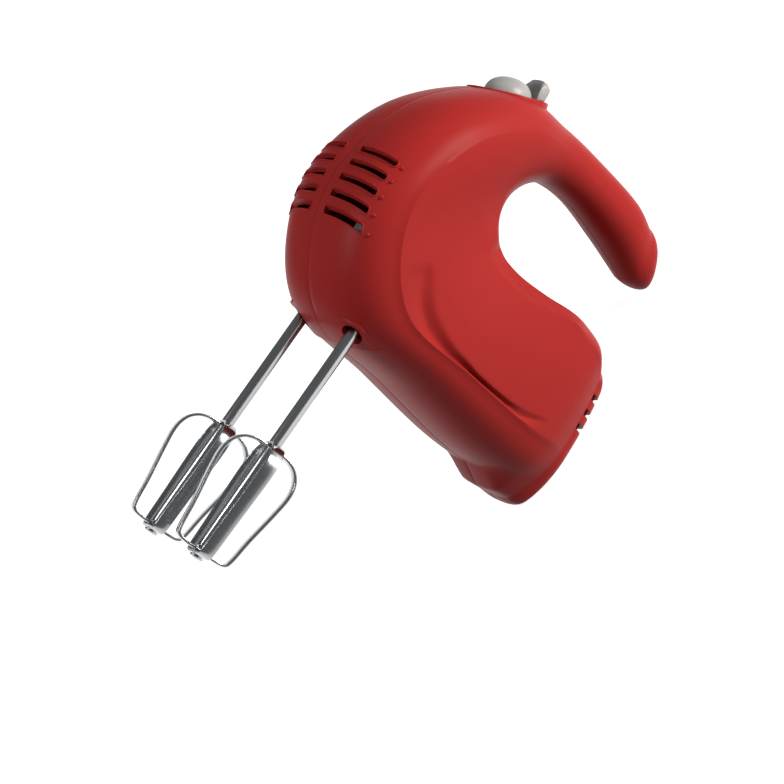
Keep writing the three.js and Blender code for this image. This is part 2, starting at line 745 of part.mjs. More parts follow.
function makeCoverScrew(y) {
  return disc(0.9, at(32, y, -18), at(42, y, -18), 10).add(disc(2, at(41.6, y, -18), at(43, y, -18), 12));
}

function makeGearBush(y) {
  const profile = [[6.8, 0], [8.6, 0], [8.6, 3.4], [9.8, 3.4], [9.8, 4.4], [6.8, 4.4], [6.8, 0]];
  return turned(profile, at(11.9, y, 0), at(1, 0, 0), 24);
}

// ---- beaters ----
// Local z is the mixer's x, the loops hang towards -z below the top hub.
function beaterPlace(solid, y) {
  return solid.rotate([0, 90, 0]).translate([0, y, 0]);
}

function makeTube(y) {
  const bottom = LOOP_TOP - 55.6;
  const tube = ring(2.3, TUBE_RADIUS, at(0, 0, bottom), at(0, 0, 36), 24);
  const lugs = box(-4.6, 4.6, -0.7, 0.7, 30, 33.5).rotate([0, 0, 90 - LOOP_TURN]);
  const inside = disc(2.3, at(0, 0, 20), at(0, 0, 40), 24);
  return beaterPlace(tube.add(lugs.subtract(inside)), y);
}

// A closed strip bent in one plane, pierced for the tube above and the rivet below.
function makeLoop(y, inner) {
  const drop = inner ? LOOP_THICKNESS + 0.3 : 0;
  const outerSide = LOOP_PROFILE.map(([r, depth]) => [r, inner ? squeeze(depth, drop) : depth]);
  const outline = outerSide.map(([r, depth]) => [r, -depth])
    .concat(outerSide.slice().reverse().map(([r, depth]) => [-r, -depth]));
  const shape = new THREE.Shape(outline.map(([x, z]) => new THREE.Vector2(x, z)));
  const gap = insetOutline(outline, LOOP_THICKNESS).reverse();
  shape.holes.push(new THREE.Path(gap.map(([x, z]) => new THREE.Vector2(x, z))));
  const geometry = new THREE.ExtrudeGeometry(shape, { depth: LOOP_WIDTH, bevelEnabled: false });
  geometry.translate(0, 0, -LOOP_WIDTH / 2);
  geometry.rotateX(Math.PI / 2);
  geometry.translate(0, 0, LOOP_TOP);
  let loop = toSolid(geometry);
  loop = loop.subtract(disc(TUBE_RADIUS + 0.2, at(0, 0, LOOP_TOP - 20), at(0, 0, LOOP_TOP + 5), 20));
  loop = loop.subtract(disc(2, at(0, 0, LOOP_TOP - 70), at(0, 0, LOOP_TOP - 50), 16));
  loop = loop.rotate([0, 0, (inner ? 0 : 90) - LOOP_TURN]);
  return beaterPlace(loop, y);
}

function squeeze(depth, drop) {
  const height = LOOP_PROFILE[LOOP_PROFILE.length - 1][1];
  return drop + (depth * (height - 2 * drop)) / height;
}

// Outline moved inwards by the strip's thickness, corner by corner.
function insetOutline(outline, distance) {
  const count = outline.length;
  return outline.map(([x, z], i) => {
    const [ax, az] = outline[(i + count - 1) % count];
    const [bx, bz] = outline[(i + 1) % count];
    const first = Math.hypot(x - ax, z - az);
    const second = Math.hypot(bx - x, bz - z);
    const nx = -((z - az) / first + (bz - z) / second);
    const nz = (x - ax) / first + (bx - x) / second;
    const size = Math.hypot(nx, nz);
    const half = size / 2;
    return [x - (nx / size) * (distance / half), z - (nz / size) * (distance / half)];
  });
}

function makeRivet(y) {
  const bottom = LOOP_TOP - 59.4;
  const shank = disc(1.8, at(0, 0, bottom - 0.6), at(0, 0, bottom + 10), 16);
  const head = disc(3.4, at(0, 0, bottom - 1.6), at(0, 0, bottom - 0.3), 20);
  return beaterPlace(shank.add(head), y);
}

// ---- assembly ----
const mixer = new THREE.Group();
mixer.name = 'hand_mixer';

function place(name, solid, look) {
  const geometry = toGeometry(solid);
  geometry.translate(-HEEL_CENTRE_X, 0, -HEEL_Z);
  const mesh = new THREE.Mesh(geometry, look);
  mesh.name = name;
  mixer.add(mesh);
}

const halves = makeHousingHalves();
place('left_housing', halves[-1], RED);
place('right_housing', halves[1], RED);
SCREW_PLACES.forEach(([x, z], i) => place(`housing_screw_${i + 1}`, makeHousingScrew(x, z), STEEL));
place('cord_bush', makeCordBush(), BLACK);

place('eject_button', makeEjectButton(), GREY);
place('speed_selector', makeSpeedSelector(), GREY);
place('control_base', makeControlBase(), BLACK);
place('eject_spring', makeEjectSpring(), STEEL);
place('eject_rod', makeEjectRod(), NYLON);
place('eject_guide', makeEjectGuide(), BLACK);
place('speed_switch', makeSpeedSwitch(), BLACK);
place('switch_board', makeSwitchBoard(), BOARD);

place('armature_shaft', makeShaft(), STEEL);
place('worm', makeWorm(), STEEL);
place('armature_core', makeArmatureCore(), LAMINATION);
place('front_winding', makeWinding(-41.7, -35.2), COPPER);
place('rear_winding', makeWinding(-84.8, -78.3), COPPER);
place('commutator', makeCommutator(), COPPER);
place('cooling_fan', makeFan(), NYLON);
place('stator_core', makeStatorCore(), LAMINATION);
place('upper_field_coil', makeFieldCoil(0), COPPER);
place('lower_field_coil', makeFieldCoil(180), COPPER);
place('rear_motor_frame', makeRearFrame(), BLACK);
MOTOR_SCREW_PLACES.forEach(([x, y], i) => place(`motor_screw_${i + 1}`, makeMotorScrew(x, y), STEEL));
place('front_bearing', makeBearing(14.4, 19.6), BRONZE);
place('middle_bearing', makeBearing(-20.6, -15.4), BRONZE);
place('rear_bearing', makeBearing(-109, -102.4), BRONZE);
place('gear_frame', makeGearFrame(), ALUMINIUM);
place('gear_cover', makeGearCover(), ALUMINIUM);
place('cover_screw_1', makeCoverScrew(-COVER_SCREW_Y), STEEL);
place('cover_screw_2', makeCoverScrew(COVER_SCREW_Y), STEEL);

for (const [name, side] of [['left', -1], ['right', 1]]) {
  const y = side * BEATER_Y;
  place(`${name}_brush_holder`, makeBrushHolder(side), BRONZE);
  place(`${name}_brush`, makeBrush(side), CARBON);
  place(`${name}_gear`, makeGear(y), NYLON);
  place(`${name}_gear_bush`, makeGearBush(y), BRONZE);
  place(`${name}_beater_tube`, makeTube(y), CHROME);
  place(`${name}_outer_loop`, makeLoop(y, false), CHROME);
  place(`${name}_inner_loop`, makeLoop(y, true), CHROME);
  place(`${name}_rivet`, makeRivet(y), CHROME);
}

export default mixer;
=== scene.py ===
"""Hand mixer with a moulded two-half housing, two strip beaters and a thumb control.

Shapes are drawn in millimetres in the mixer's own frame, whose origin lies midway between the
two beater exits: +X is the top (handle side), +Y the right side, +Z the front. `to_row` moves
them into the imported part's frame, in metres.
"""
import json
import math

import bmesh
import bpy
import numpy as np
from mathutils import Matrix, Vector
from mathutils.bvhtree import BVHTree


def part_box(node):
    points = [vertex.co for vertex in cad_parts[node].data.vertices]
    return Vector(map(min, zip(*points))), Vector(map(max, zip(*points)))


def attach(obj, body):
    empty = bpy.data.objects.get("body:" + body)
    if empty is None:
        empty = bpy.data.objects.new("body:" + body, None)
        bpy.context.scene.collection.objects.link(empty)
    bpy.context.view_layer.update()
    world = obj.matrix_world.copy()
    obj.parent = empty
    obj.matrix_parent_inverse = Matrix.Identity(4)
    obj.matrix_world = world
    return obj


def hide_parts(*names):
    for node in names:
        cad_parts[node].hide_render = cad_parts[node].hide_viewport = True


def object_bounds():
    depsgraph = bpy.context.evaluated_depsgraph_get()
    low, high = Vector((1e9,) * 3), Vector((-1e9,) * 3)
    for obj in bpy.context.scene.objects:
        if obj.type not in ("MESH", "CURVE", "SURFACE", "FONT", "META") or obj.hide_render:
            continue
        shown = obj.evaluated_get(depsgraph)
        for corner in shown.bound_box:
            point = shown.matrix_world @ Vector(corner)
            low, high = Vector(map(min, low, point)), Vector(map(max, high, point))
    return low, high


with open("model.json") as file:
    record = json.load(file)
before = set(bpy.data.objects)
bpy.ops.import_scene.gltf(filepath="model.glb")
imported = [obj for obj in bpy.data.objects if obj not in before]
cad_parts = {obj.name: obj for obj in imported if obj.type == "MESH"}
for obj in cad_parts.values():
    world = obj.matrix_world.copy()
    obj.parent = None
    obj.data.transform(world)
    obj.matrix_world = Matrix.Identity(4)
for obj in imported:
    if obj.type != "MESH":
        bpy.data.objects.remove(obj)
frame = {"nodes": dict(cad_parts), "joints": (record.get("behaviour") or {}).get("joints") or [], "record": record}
CAD_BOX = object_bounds()

# ---- the mixer's frame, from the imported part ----
BEATER_LENGTH = 116.5  # from the exits' plane to the end of the beater tube
tube_low, tube_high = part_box("left_beater_tube")
ORIGIN = Vector((
    tube_low.x * 1000 + BEATER_LENGTH,
    0,
    (tube_low.z + tube_high.z) * 500,
))
BEATER_Y = -(tube_low.y + tube_high.y) * 500
HEEL_Z = -ORIGIN.z

# ---- housing ----
# Inner point (x, z), outer point (x, z), half width, share of the depth at which the side is
# widest, share of the half width left at the rim of the hand opening.
SECTIONS = np.array([
    [115, -124.5, 143, -113.5, 14.4, 0.50, 0.86],
    [120, -100, 146.5, -97.5, 17.8, 0.50, 0.86],
    [123, -72.5, 147.5, -70, 16.9, 0.50, 0.86],
    [120, -52, 146, -39, 19.4, 0.55, 0.80],
    [112, -41, 139, -3, 28.2, 0.61, 0.72],
    [100.5, -35, 106, 30.5, 36.1, 0.69, 0.66],
    [87.5, -36, 64, 43, 40.7, 0.76, 0.66],
    [78.5, -44, 28.5, 35.5, 41.5, 0.77, 0.68],
    [76, -57.5, -0.5, 7, 42.1, 0.76, 0.72],
    [77.5, -77, -3.5, -43, 42.4, 0.74, 0.76],
    [81, -99.5, -6, -87, 40.7, 0.72, 0.80],
    [81, -117, -4.5, -114.5, 36.2, 0.70, 0.82],
    [73, -130, -1, -132, 28.3, 0.66, 0.85],
])
# How each end is rounded off: depth, size left along x and y, the x it shrinks to and a shift of
# x, and the rows of its rounding and of its flat; the heel is also levelled to end in a flat.
HANDLE_END = {
    "depth": 14, "x": 0.38, "y": 0.38, "centre": 128.2, "shift": -1.8, "level": None,
    "round_rows": 16, "flat_rows": 6,
}
HEEL_END = {
    "depth": 9, "x": 0.79, "y": 0.62, "centre": 32.5, "shift": -11.4, "level": HEEL_Z + 9,
    "round_rows": 12, "flat_rows": 10,
}
SHELL_WALL = 2.2
SEAM_GAP = 0.08
SEAM_GROOVE = 0.12
ROWS = 330
MIDDLE_LINE_SHARE = 0.65  # of the way from the inner to the outer point

# Section number against a value along the housing.
CREASE = ([0, 2.5, 4.5, 10.5, 12], [0.06, 0.12, 0.32, 0.32, 0.12])
SHOULDER = ([4.3, 6, 10.5, 12], [0, 0.9, 0.9, 0])
ROUND_SIDE = ([4.6, 6.8], [1, 0])
RIM_PLACE = (
    [6.2, 7.0, 7.4, 8.42, 8.84, 9.27, 10.1, 10.5, 11.2],
    [12, 15.5, 15.2, 12.3, 10.5, 8.7, 5.2, 7, 12],
)
RIM_BAND = ([6.5, 7.1, 9.4, 10.8], [0, 1, 1, 0])
STEP_TOP = (
    [7.3, 7.57, 7.78, 8.01, 8.26, 8.54, 8.79, 9.03, 9.33, 9.68, 10.6],
    [0.56, 0.56, 0.58, 0.60, 0.62, 0.66, 0.68, 0.70, 0.695, 0.68, 0.60],
)
STEP_BOTTOM = (
    [7.3, 7.5, 8.15, 8.39, 8.64, 8.90, 9.18, 9.54, 9.99, 10.6],
    [0.60, 0.63, 0.69, 0.71, 0.73, 0.75, 0.75, 0.735, 0.70, 0.635],
)
STEP_DEPTH = ([7.22, 7.5, 8.0, 8.6, 9.1, 9.6, 10.1, 10.7], [0, 1.9, 2.8, 3.3, 3.2, 2.5, 1.3, 0])
LIP_DROP = ([7.0, 8.6, 9.4, 10.8], [0, 0.6, 0.6, 0])


def to_row(points):
    """Mixer-frame millimetres to row-frame metres."""
    return (np.asarray(points, float) + np.array(ORIGIN)) * 0.001


def along(table, at):
    return np.interp(at, table[0], table[1])


def smooth_along(table, at):
    """Like `along`, with eased steps between the table's places."""
    places, values = table
    i = int(np.clip(np.searchsorted(places, at) - 1, 0, len(places) - 2))
    t = np.clip((at - places[i]) / (places[i + 1] - places[i]), 0, 1)
    return values[i] + (values[i + 1] - values[i]) * t * t * (3 - 2 * t)


def section_at(position):
    """Catmull-Rom through the sections, column by column."""
    last = len(SECTIONS) - 1
    i = min(int(position), last - 1)
    t = position - i
    before, here = SECTIONS[max(i - 1, 0)], SECTIONS[i]
    after, later = SECTIONS[i + 1], SECTIONS[min(i + 2, last)]
    slope_a, slope_b = (after - before) / 2, (later - here) / 2
    return (
        (2 * t**3 - 3 * t**2 + 1) * here
        + (t**3 - 2 * t**2 + t) * slope_a
        + (3 * t**2 - 2 * t**3) * after
        + (t**3 - t**2) * slope_b
    )


# Points across the half outline, from the outer point to the inner point.
NOSE_COLUMNS = 40
LIP_COLUMNS = 8
RAMP_COLUMNS = 8
PANEL_COLUMNS = 26
BAND_COLUMNS = 8
INNER_COLUMNS = 16
# Powers that space the nose's points and round the nose, the side and the lip above the step.
NOSE_SPACING = 0.89
NOSE_FALL = 2.5
NOSE_ROUNDING = 2.8
SIDE_FULLNESS = 0.9
LIP_HOLLOW = 1.5
SHOULDER_SHARE = 0.2  # of the nose, from the widest line
PANEL_BULGE = 0.9
# The plain rim takes this share of the depth, up to a largest depth.
RIM_SHARE, RIM_DEPTH = 0.28, 12
LARGEST_RIM_SHARE = 0.4
FACET_DEPTH, FACET_WIDTH = 0.72, 0.26
NARROWEST_LIP, NARROWEST_RAMP = 1.5, 1
# Away from the crescent its columns move to these shares of the side.
CRESCENT_MIDDLE, CRESCENT_BLEND = 9, 3
SPARE_BOTTOM, SPARE_TOP = 0.12, 0.25
SEAM_EDGE = 0.35


def nose_outline(position, width, ridge_at, length):
    """From the outer point to the widest line, sinking a little towards the lip and the shoulder."""
    crease = along(CREASE, position)
    lip_drop = smooth_along(LIP_DROP, position)
    shoulder = smooth_along(SHOULDER, position)
    outline = []
    for i in range(NOSE_COLUMNS + 1):
        tau = math.cos((i / NOSE_COLUMNS) * math.pi / 2) ** NOSE_SPACING
        fullness = max(0.0, 1 - crease * tau - (1 - crease) * tau**NOSE_FALL)
        sink = lip_drop * max(0.0, 1 - 2 * tau) ** 2
        sink += shoulder * (1 - max(0.0, 1 - tau / SHOULDER_SHARE) ** 2) * (1 - tau)
        outline.append((ridge_at + (length - ridge_at) * tau, width * fullness ** (1 / NOSE_ROUNDING) - sink))
    return outline


def step_places(position, length, ridge_at, rim_at):
    """Foot and head of the crescent step; where there is no step they only space the columns."""
    bottom = along(STEP_BOTTOM, position) * length
    top = along(STEP_TOP, position) * length
    if smooth_along(STEP_DEPTH, position) <= 0:
        blend = np.clip(abs(position - CRESCENT_MIDDLE) / CRESCENT_BLEND, 0, 1)
        bottom = bottom * (1 - blend) + (ridge_at - SPARE_BOTTOM * (ridge_at - rim_at)) * blend
        top = top * (1 - blend) + (ridge_at - SPARE_TOP * (ridge_at - rim_at)) * blend
    bottom = min(bottom, ridge_at - NARROWEST_LIP)
    return bottom, min(top, bottom - NARROWEST_RAMP)


def panel_outline(position, length, ridge_at, rim_at, panel):
    """From the widest line over the lip and the crescent step to the rim of the hand opening."""
    depth = smooth_along(STEP_DEPTH, position)
    lip_drop = smooth_along(LIP_DROP, position)
    bottom, top = step_places(position, length, ridge_at, rim_at)
    outline = []
    for i in range(1, LIP_COLUMNS + 1):
        t = i / LIP_COLUMNS
        at = ridge_at + (bottom - ridge_at) * t
        outline.append((at, panel(at) - lip_drop - (depth - lip_drop) * t**LIP_HOLLOW))
    for i in range(1, RAMP_COLUMNS + 1):
        t = i / RAMP_COLUMNS
        at = bottom + (top - bottom) * t
        outline.append((at, panel(at) - depth * (1 - t * t * (3 - 2 * t))))
    for i in range(1, PANEL_COLUMNS + 1):
        at = top + (rim_at - top) * i / PANEL_COLUMNS
        outline.append((at, panel(at)))
    return outline


def rim_outline(rim_at, rim_half, band):
    """Rounds the rim into the hand opening; `band` is how far the rim has a flat facet instead."""
    outline = []
    columns = BAND_COLUMNS + INNER_COLUMNS
    share = BAND_COLUMNS / columns
    for i in range(1, columns + 1):
        t = i / columns
        angle = t * math.pi / 2
        round_at = rim_at * (1 - math.sin(angle))
        round_half = rim_half * math.cos(angle)
        if t <= share:
            facet_at = rim_at * (1 - FACET_DEPTH * t / share)
            facet_half = rim_half * (1 - FACET_WIDTH * t / share)
        else:
            rest = (t - share) / (1 - share) * math.pi / 2
            facet_at = rim_at * (1 - FACET_DEPTH) * (1 - math.sin(rest))
            facet_half = rim_half * (1 - FACET_WIDTH) * math.cos(rest)
        outline.append((
            round_at * (1 - band) + facet_at * band,
            round_half * (1 - band) + facet_half * band,
        ))
    return outline


def round_side(outline, width, ridge_at, rounding):
    """Turns the side below the widest line into one round sweep, as far as `rounding` says."""
    below = len(outline) - NOSE_COLUMNS - 1
    for i in range(1, below + 1):
        angle = (i / below) * math.pi / 2
        at, half = outline[NOSE_COLUMNS + i]
        round_at = ridge_at * (1 - math.sin(angle))
        round_half = width * math.cos(angle) ** SIDE_FULLNESS
        outline[NOSE_COLUMNS + i] = (
            at + (round_at - at) * rounding,
            half + (round_half - half) * rounding,
        )


def add_seam_groove(outline):
    """The two halves meet in a fine groove."""
    first, last = outline[0][0], outline[-1][0]
    outline[0] = (first - SEAM_GROOVE, 0)
    outline.insert(1, (first, SEAM_GAP + SEAM_EDGE))
    outline[-1] = (last + SEAM_GROOVE, 0)
    outline.insert(-1, (last, SEAM_GAP + SEAM_EDGE))


def half_section(position, length, width, ridge, rim):
    """Half outline of the housing at a section: points (distance from the inner point, half width)."""
    ridge_at = ridge * length
    plain_rim = min(RIM_SHARE * length, RIM_DEPTH)
    band = smooth_along(RIM_BAND, position)
    rim_at = plain_rim + (min(along(RIM_PLACE, position), LARGEST_RIM_SHARE * length) - plain_rim) * band
    slope = (width - width * rim) / (ridge_at - plain_rim)

    def panel(at):
        share = np.clip((ridge_at - at) / (ridge_at - rim_at), 0, 1)
        return width - slope * (ridge_at - at) + PANEL_BULGE * math.sin(math.pi * share)

    outline = nose_outline(position, width, ridge_at, length)
    outline += panel_outline(position, length, ridge_at, rim_at, panel)
    outline += rim_outline(rim_at, panel(rim_at), band)
    round_side(outline, width, ridge_at, smooth_along(ROUND_SIDE, position))
    add_seam_groove(outline)
    return outline


def section_points(position):
    """One row of the housing's side, from the outer point round to the inner point."""
    ix, iz, ox, oz, width, ridge, rim = section_at(position)
    length = math.hypot(ox - ix, oz - iz)
    dx, dz = (ox - ix) / length, (oz - iz) / length
    outline = half_section(position, length, width, ridge, rim)
    return np.array([(ix + at * dx, half, iz + at * dz) for at, half in outline])


def even_positions(count):
    """Section numbers spaced evenly along the housing's middle line."""
    fine = np.linspace(0, len(SECTIONS) - 1, 1200)
    inner_x, inner_z, outer_x, outer_z = np.array([section_at(p)[:4] for p in fine]).T
    inner_share = 1 - MIDDLE_LINE_SHARE
    line_x = inner_x * inner_share + outer_x * MIDDLE_LINE_SHARE
    line_z = inner_z * inner_share + outer_z * MIDDLE_LINE_SHARE
    travelled = np.concatenate([[0], np.cumsum(np.hypot(np.diff(line_x), np.diff(line_z)))])
    return np.interp(np.linspace(0, travelled[-1], count), travelled, fine)


def round_rows(base, end):
    """Rows that round a section off towards -Z as `end` says."""
    rows = []
    for k in range(1, end["round_rows"] + 1):
        angle = (k / end["round_rows"]) * math.pi / 2
        left = math.cos(angle)
        row = base.copy()
        scale = end["x"] + (1 - end["x"]) * left
        row[:, 0] = end["centre"] + (base[:, 0] - end["centre"]) * scale + end["shift"] * (1 - left)
        row[:, 1] *= end["y"] + (1 - end["y"]) * left
        if end["level"] is not None:
            row[:, 2] += (end["level"] - row[:, 2]) * (1 - left)
        row[:, 2] -= end["depth"] * math.sin(angle)
        rows.append(row)
    return rows


def flat_rows(row, steps):
    """Rows that close a flat end on its middle."""
    centre = np.array([row[:, 0].mean(), SEAM_GAP, row[:, 2].mean()])
    return [centre + (row - centre) * (1 - k / steps) for k in range(1, steps)]


def end_rows(base, end):
    rows = round_rows(base, end)
    return rows + flat_rows(rows[-1], end["flat_rows"])


FOOT_START_Z = -107.7
FOOT_FULL_Z = -122
FOOT_DROP = 7.2
FOOT_HALF_WIDTH = 27
FOOT_SIDE_SLOPE = 14
FOOT_TOP_X = 26
FOOT_GROWTH, FOOT_GROWTH_LENGTH = 0.15, 12
FOOT_HEEL_ROUNDING = 9
FOOT_HEEL_SHARE = 0.25


def foot_drop(x, y, z):
    """How far the foot pushes the underside down."""
    front = np.clip((FOOT_START_Z - z) / (FOOT_START_Z - FOOT_FULL_Z), 0, 1)
    profile = front + FOOT_GROWTH * np.maximum(0, (FOOT_FULL_Z - z) / FOOT_GROWTH_LENGTH)
    rear = np.clip((z - HEEL_Z) / FOOT_HEEL_ROUNDING, 0, 1)
    profile = profile * (np.sqrt(1 - (1 - rear) ** 2) * (1 - FOOT_HEEL_SHARE) + FOOT_HEEL_SHARE)
    side = np.clip((FOOT_HALF_WIDTH - abs(y)) / FOOT_SIDE_SLOPE, 0, 1)
    side = side * side * (3 - 2 * side)
    height = np.clip((FOOT_TOP_X - x) / FOOT_TOP_X, 0, 1)
    return np.where(z > FOOT_START_Z, 0, FOOT_DROP * profile * side * height)


def housing_rows():
    """One side of the housing, row by row from the handle's end round to the heel."""
    rows = [section_points(p) for p in even_positions(ROWS)]
    rows = end_rows(rows[0], HANDLE_END)[::-1] + rows + end_rows(rows[-1], HEEL_END)
    rows = np.array(rows)
    rows[:, 0, 1] = rows[:, -1, 1] = SEAM_GAP
    rows[:, :, 0] -= foot_drop(rows[:, :, 0], rows[:, :, 1], rows[:, :, 2])
    return rows


HOUSING_ROWS = housing_rows()


# ---- mesh helpers ----
def new_object(name, vertices, faces, smooth=True):
    mesh = bpy.data.meshes.new(name)
    mesh.from_pydata([tuple(v) for v in vertices], [], faces)
    mesh.update()
    mesh.polygons.foreach_set("use_smooth", [smooth] * len(mesh.polygons))
    made = bpy.data.objects.new(name, mesh)
    bpy.context.scene.collection.objects.link(made)
    return made


def clean(obj, sharp_degrees=40):
    """Welds doubled points, turns the faces outwards and marks the sharp edges."""
    work = bmesh.new()
    work.from_mesh(obj.data)
    bmesh.ops.remove_doubles(work, verts=work.verts, dist=1e-7)
    bmesh.ops.recalc_face_normals(work, faces=work.faces)
    work.to_mesh(obj.data)
    work.free()
    obj.data.polygons.foreach_set("use_smooth", [True] * len(obj.data.polygons))
    obj.data.set_sharp_from_angle(angle=math.radians(sharp_degrees))
    return obj


def apply_modifiers(obj):
    """Bakes the object's modifiers into its mesh."""
    evaluated = obj.evaluated_get(bpy.context.evaluated_depsgraph_get())
    baked = bpy.data.meshes.new_from_object(evaluated)
    old = obj.data
    obj.modifiers.clear()
    obj.data = baked
    bpy.data.meshes.remove(old)
    return obj


def combine(obj, others, operation):
    """Boolean of obj with each of the others, which are then removed."""
    for other in others:
        modifier = obj.modifiers.new("cut", "BOOLEAN")
        modifier.operation = operation
        modifier.object = other
        modifier.solver = "MANIFOLD"
    apply_modifiers(obj)
    for other in others:
        bpy.data.objects.remove(other)
    return obj


def joined(name, objects):
    """One object from several, with their meshes kept as they are."""
    vertices, faces = [], []
    for obj in objects:
        base = len(vertices)
        vertices += [obj.matrix_world @ v.co for v in obj.data.vertices]
        faces += [[base + i for i in p.vertices] for p in obj.data.polygons]
        bpy.data.objects.remove(obj)
    return new_object(name, vertices, faces)


def prism(name, outline, start, end, place):
    """Solid between the outline at `start` and at `end`; `place(a, b, c)` gives each point."""
    count = len(outline)
    vertices = [place(a, b, start) for a, b in outline] + [place(a, b, end) for a, b in outline]
    faces = [[i, (i + 1) % count, count + (i + 1) % count, count + i] for i in range(count)]
    faces += [list(range(count))[::-1], list(range(count, 2 * count))]
    return clean(new_object(name, to_row(vertices), faces))


def turned(name, profile, origin, axis, segments=64):
    """Solid of revolution from (radius, height) pairs, height along `axis` from `origin`."""
    axis = Vector(axis).normalized()
    side = axis.orthogonal().normalized()
    other = axis.cross(side)
    origin = Vector(origin)
    vertices, faces, rings = [], [], []
    for radius, height in profile:
        if radius < 1e-6:
            rings.append([len(vertices)])
            vertices.append(origin + axis * height)
            continue
        rings.append(list(range(len(vertices), len(vertices) + segments)))
        for k in range(segments):
            angle = 2 * math.pi * k / segments
            outward = side * math.cos(angle) + other * math.sin(angle)
            vertices.append(origin + axis * height + outward * radius)
    for first, second in zip(rings, rings[1:]):
        for k in range(segments):
            a, b = first[k % len(first)], first[(k + 1) % len(first)]
            c, d = second[(k + 1) % len(second)], second[k % len(second)]
            face = list(dict.fromkeys([a, b, c, d]))
            if len(face) > 2:
                faces.append(face)
    return clean(new_object(name, to_row(vertices), faces))


def rounded_box_outline(a0, a1, b0, b1, radius, steps=4):
    """Rectangle outline with rounded corners."""
    outline = []
    corners = [(a1 - radius, b1 - radius, 0), (a0 + radius, b1 - radius, 90),
               (a0 + radius, b0 + radius, 180), (a1 - radius, b0 + radius, 270)]
    for a, b, turn in corners:
        for k in range(steps + 1):
            angle = math.radians(turn + 90 * k / steps)
            outline.append((a + radius * math.cos(angle), b + radius * math.sin(angle)))
    return outline


# ---- housing shells ----
VENT_HEIGHTS = [69.6, 61.7, 53.7, 45.8, 38.4]
VENT_FACE_Z = 43
VENT_LEAN = 0.25
VENT_HALF_HEIGHT = 1.75
VENT_INNER_Y = 6.3
VENT_OUTER_Y = 31.5
VENT_CORNER = 1.1
VENT_CUT_FROM_Z, VENT_CUT_TO_Z = 22, 62
VENT_RIM_RADIUS = 0.42
VENT_RIM_SPACING = 1.2
VENT_RIM_LIFT = 0.1
PIP_RADIUS = 0.95
PIP_GAP = 2.3
SEARCH_REACH = 40  # how far in front of the vents the search for the skin starts
REAR_VENT_HEIGHTS = [54.5, 46.3, 38.3]
REAR_VENT_INNER_Y = 16
REAR_VENT_OUTER_Y = 34
REAR_VENT_FROM_Z = -130.5
EXIT_RADIUS = 5.3
EXIT_BORE = 4.9
EXIT_FLOOR, EXIT_STEP = 3.2, 0.4
EXIT_CUT_FROM, EXIT_CUT_TO = -20, 14
EXIT_COLLAR_RADIUS = 8.8
EXIT_COLLAR_FROM, EXIT_COLLAR_TO = 2.4, 8
PAD_HALF_LENGTH = 31.0
PAD_COLUMNS = 44
PAD_FRONT_Z, PAD_FRONT_CURVE = 10.2, 0.006
PAD_REAR_Z, PAD_REAR_CURVE = -7.8, 0.005
PAD_RISE = 1.1
PAD_SINK = 0.12
PAD_EASE = 4
PAD_THICKNESS = 1.6
PAD_SEARCH_X = -30  # below the underside, where the search for the skin starts
# Share of the way from the pad's front to its rear, and share of the rise lost there.
PAD_ROWS = [(k / 16, 0) for k in range(16)] + [(0.985, 0.0), (0.995, 0.10), (1.0, 0.34), (1.0, 1.0)]
CONTROL_X, CONTROL_Z = 139.5, -8
CONTROL_HOLE_RADIUS = 14.5
# The edge of the control's well, as (radius beyond the hole's, height) pairs.
CONTROL_WELL = [(0, -11), (0, -0.5), (0.15, -0.15), (0.5, 0), (1.5, 0.3)]
CONTROL_CUT_TOP = 8
BEZEL_HALF_LENGTH, BEZEL_HALF_WIDTH = 19.2, 20.5
BEZEL_FLARE_ALONG, BEZEL_FLARE_ACROSS = 0.4, 1.6
FLARE_AT_SIDE, FLARE_FADE = 0.6, 2
BEZEL_STEPS = 60
# How far the collar round the control stands out from its oval, against the height.
BEZEL_PROFILE = [
    (1.4, -10), (2.9, -5.4), (1.8, -3.9), (0.9, -2.9),
    (0.05, -2.2), (0, -0.6), (-0.16, -0.17), (-0.6, 0),
]
SCREW_PLACES = [[84, 14], [5.5, -29], [64, -112], [9, -126], [68, -60], [132, -108], [133, -70]]
HANDLE_FROM_X = 120
HANDLE_SCREW_REACH = 7
BODY_SCREW_REACH = 14
LEFT_POST_RADIUS, RIGHT_POST_RADIUS = 3.8, 4.4
POST_LENGTH = 46
POST_INSET = 0.0011  # metres, below the outer skin
PILOT_RADIUS, PILOT_DEPTH = 1.3, 10
SCREW_HOLE_RADIUS, COUNTERBORE_RADIUS = 1.6, 3.5
SCREW_CUT_FROM, SCREW_CUT_TO = -1, 60
CORD_PLACE = Vector((66, 0, -136))
CORD_DIRECTION = Vector((0.6, 0, -0.8))
CORD_HOLE_RADIUS = 5.2
CORD_CUT_FROM, CORD_CUT_TO = -14, 9

OUT = Vector(next(j for j in frame["joints"] if j["name"] == "speed_select")["axis"]).normalized()
BACK = Vector((OUT.z, 0, -OUT.x))


def control(back, side, out):
    """Point given from the control's middle: towards the handle, sideways and outwards."""
    return Vector((CONTROL_X, side, CONTROL_Z)) + OUT * out + BACK * back


def half_skin(side, name, closed):
    """One side's outer skin, left open along the seam or closed to a solid."""
    rows = HOUSING_ROWS * (1, side, 1)
    columns = len(rows[0])
    faces = []
    wraps = columns if closed else columns - 1
    for k in range(len(rows) - 1):
        for i in range(wraps):
            a = k * columns + i
            b = k * columns + (i + 1) % columns
            faces.append([a, b, b + columns, a + columns][::side])
    for start, turn in ((0, 1), ((len(rows) - 1) * columns, -1)):
        faces.append(list(range(start, start + columns))[::-turn * side])
    return clean(new_object(name, to_row(np.concatenate(rows)), faces))


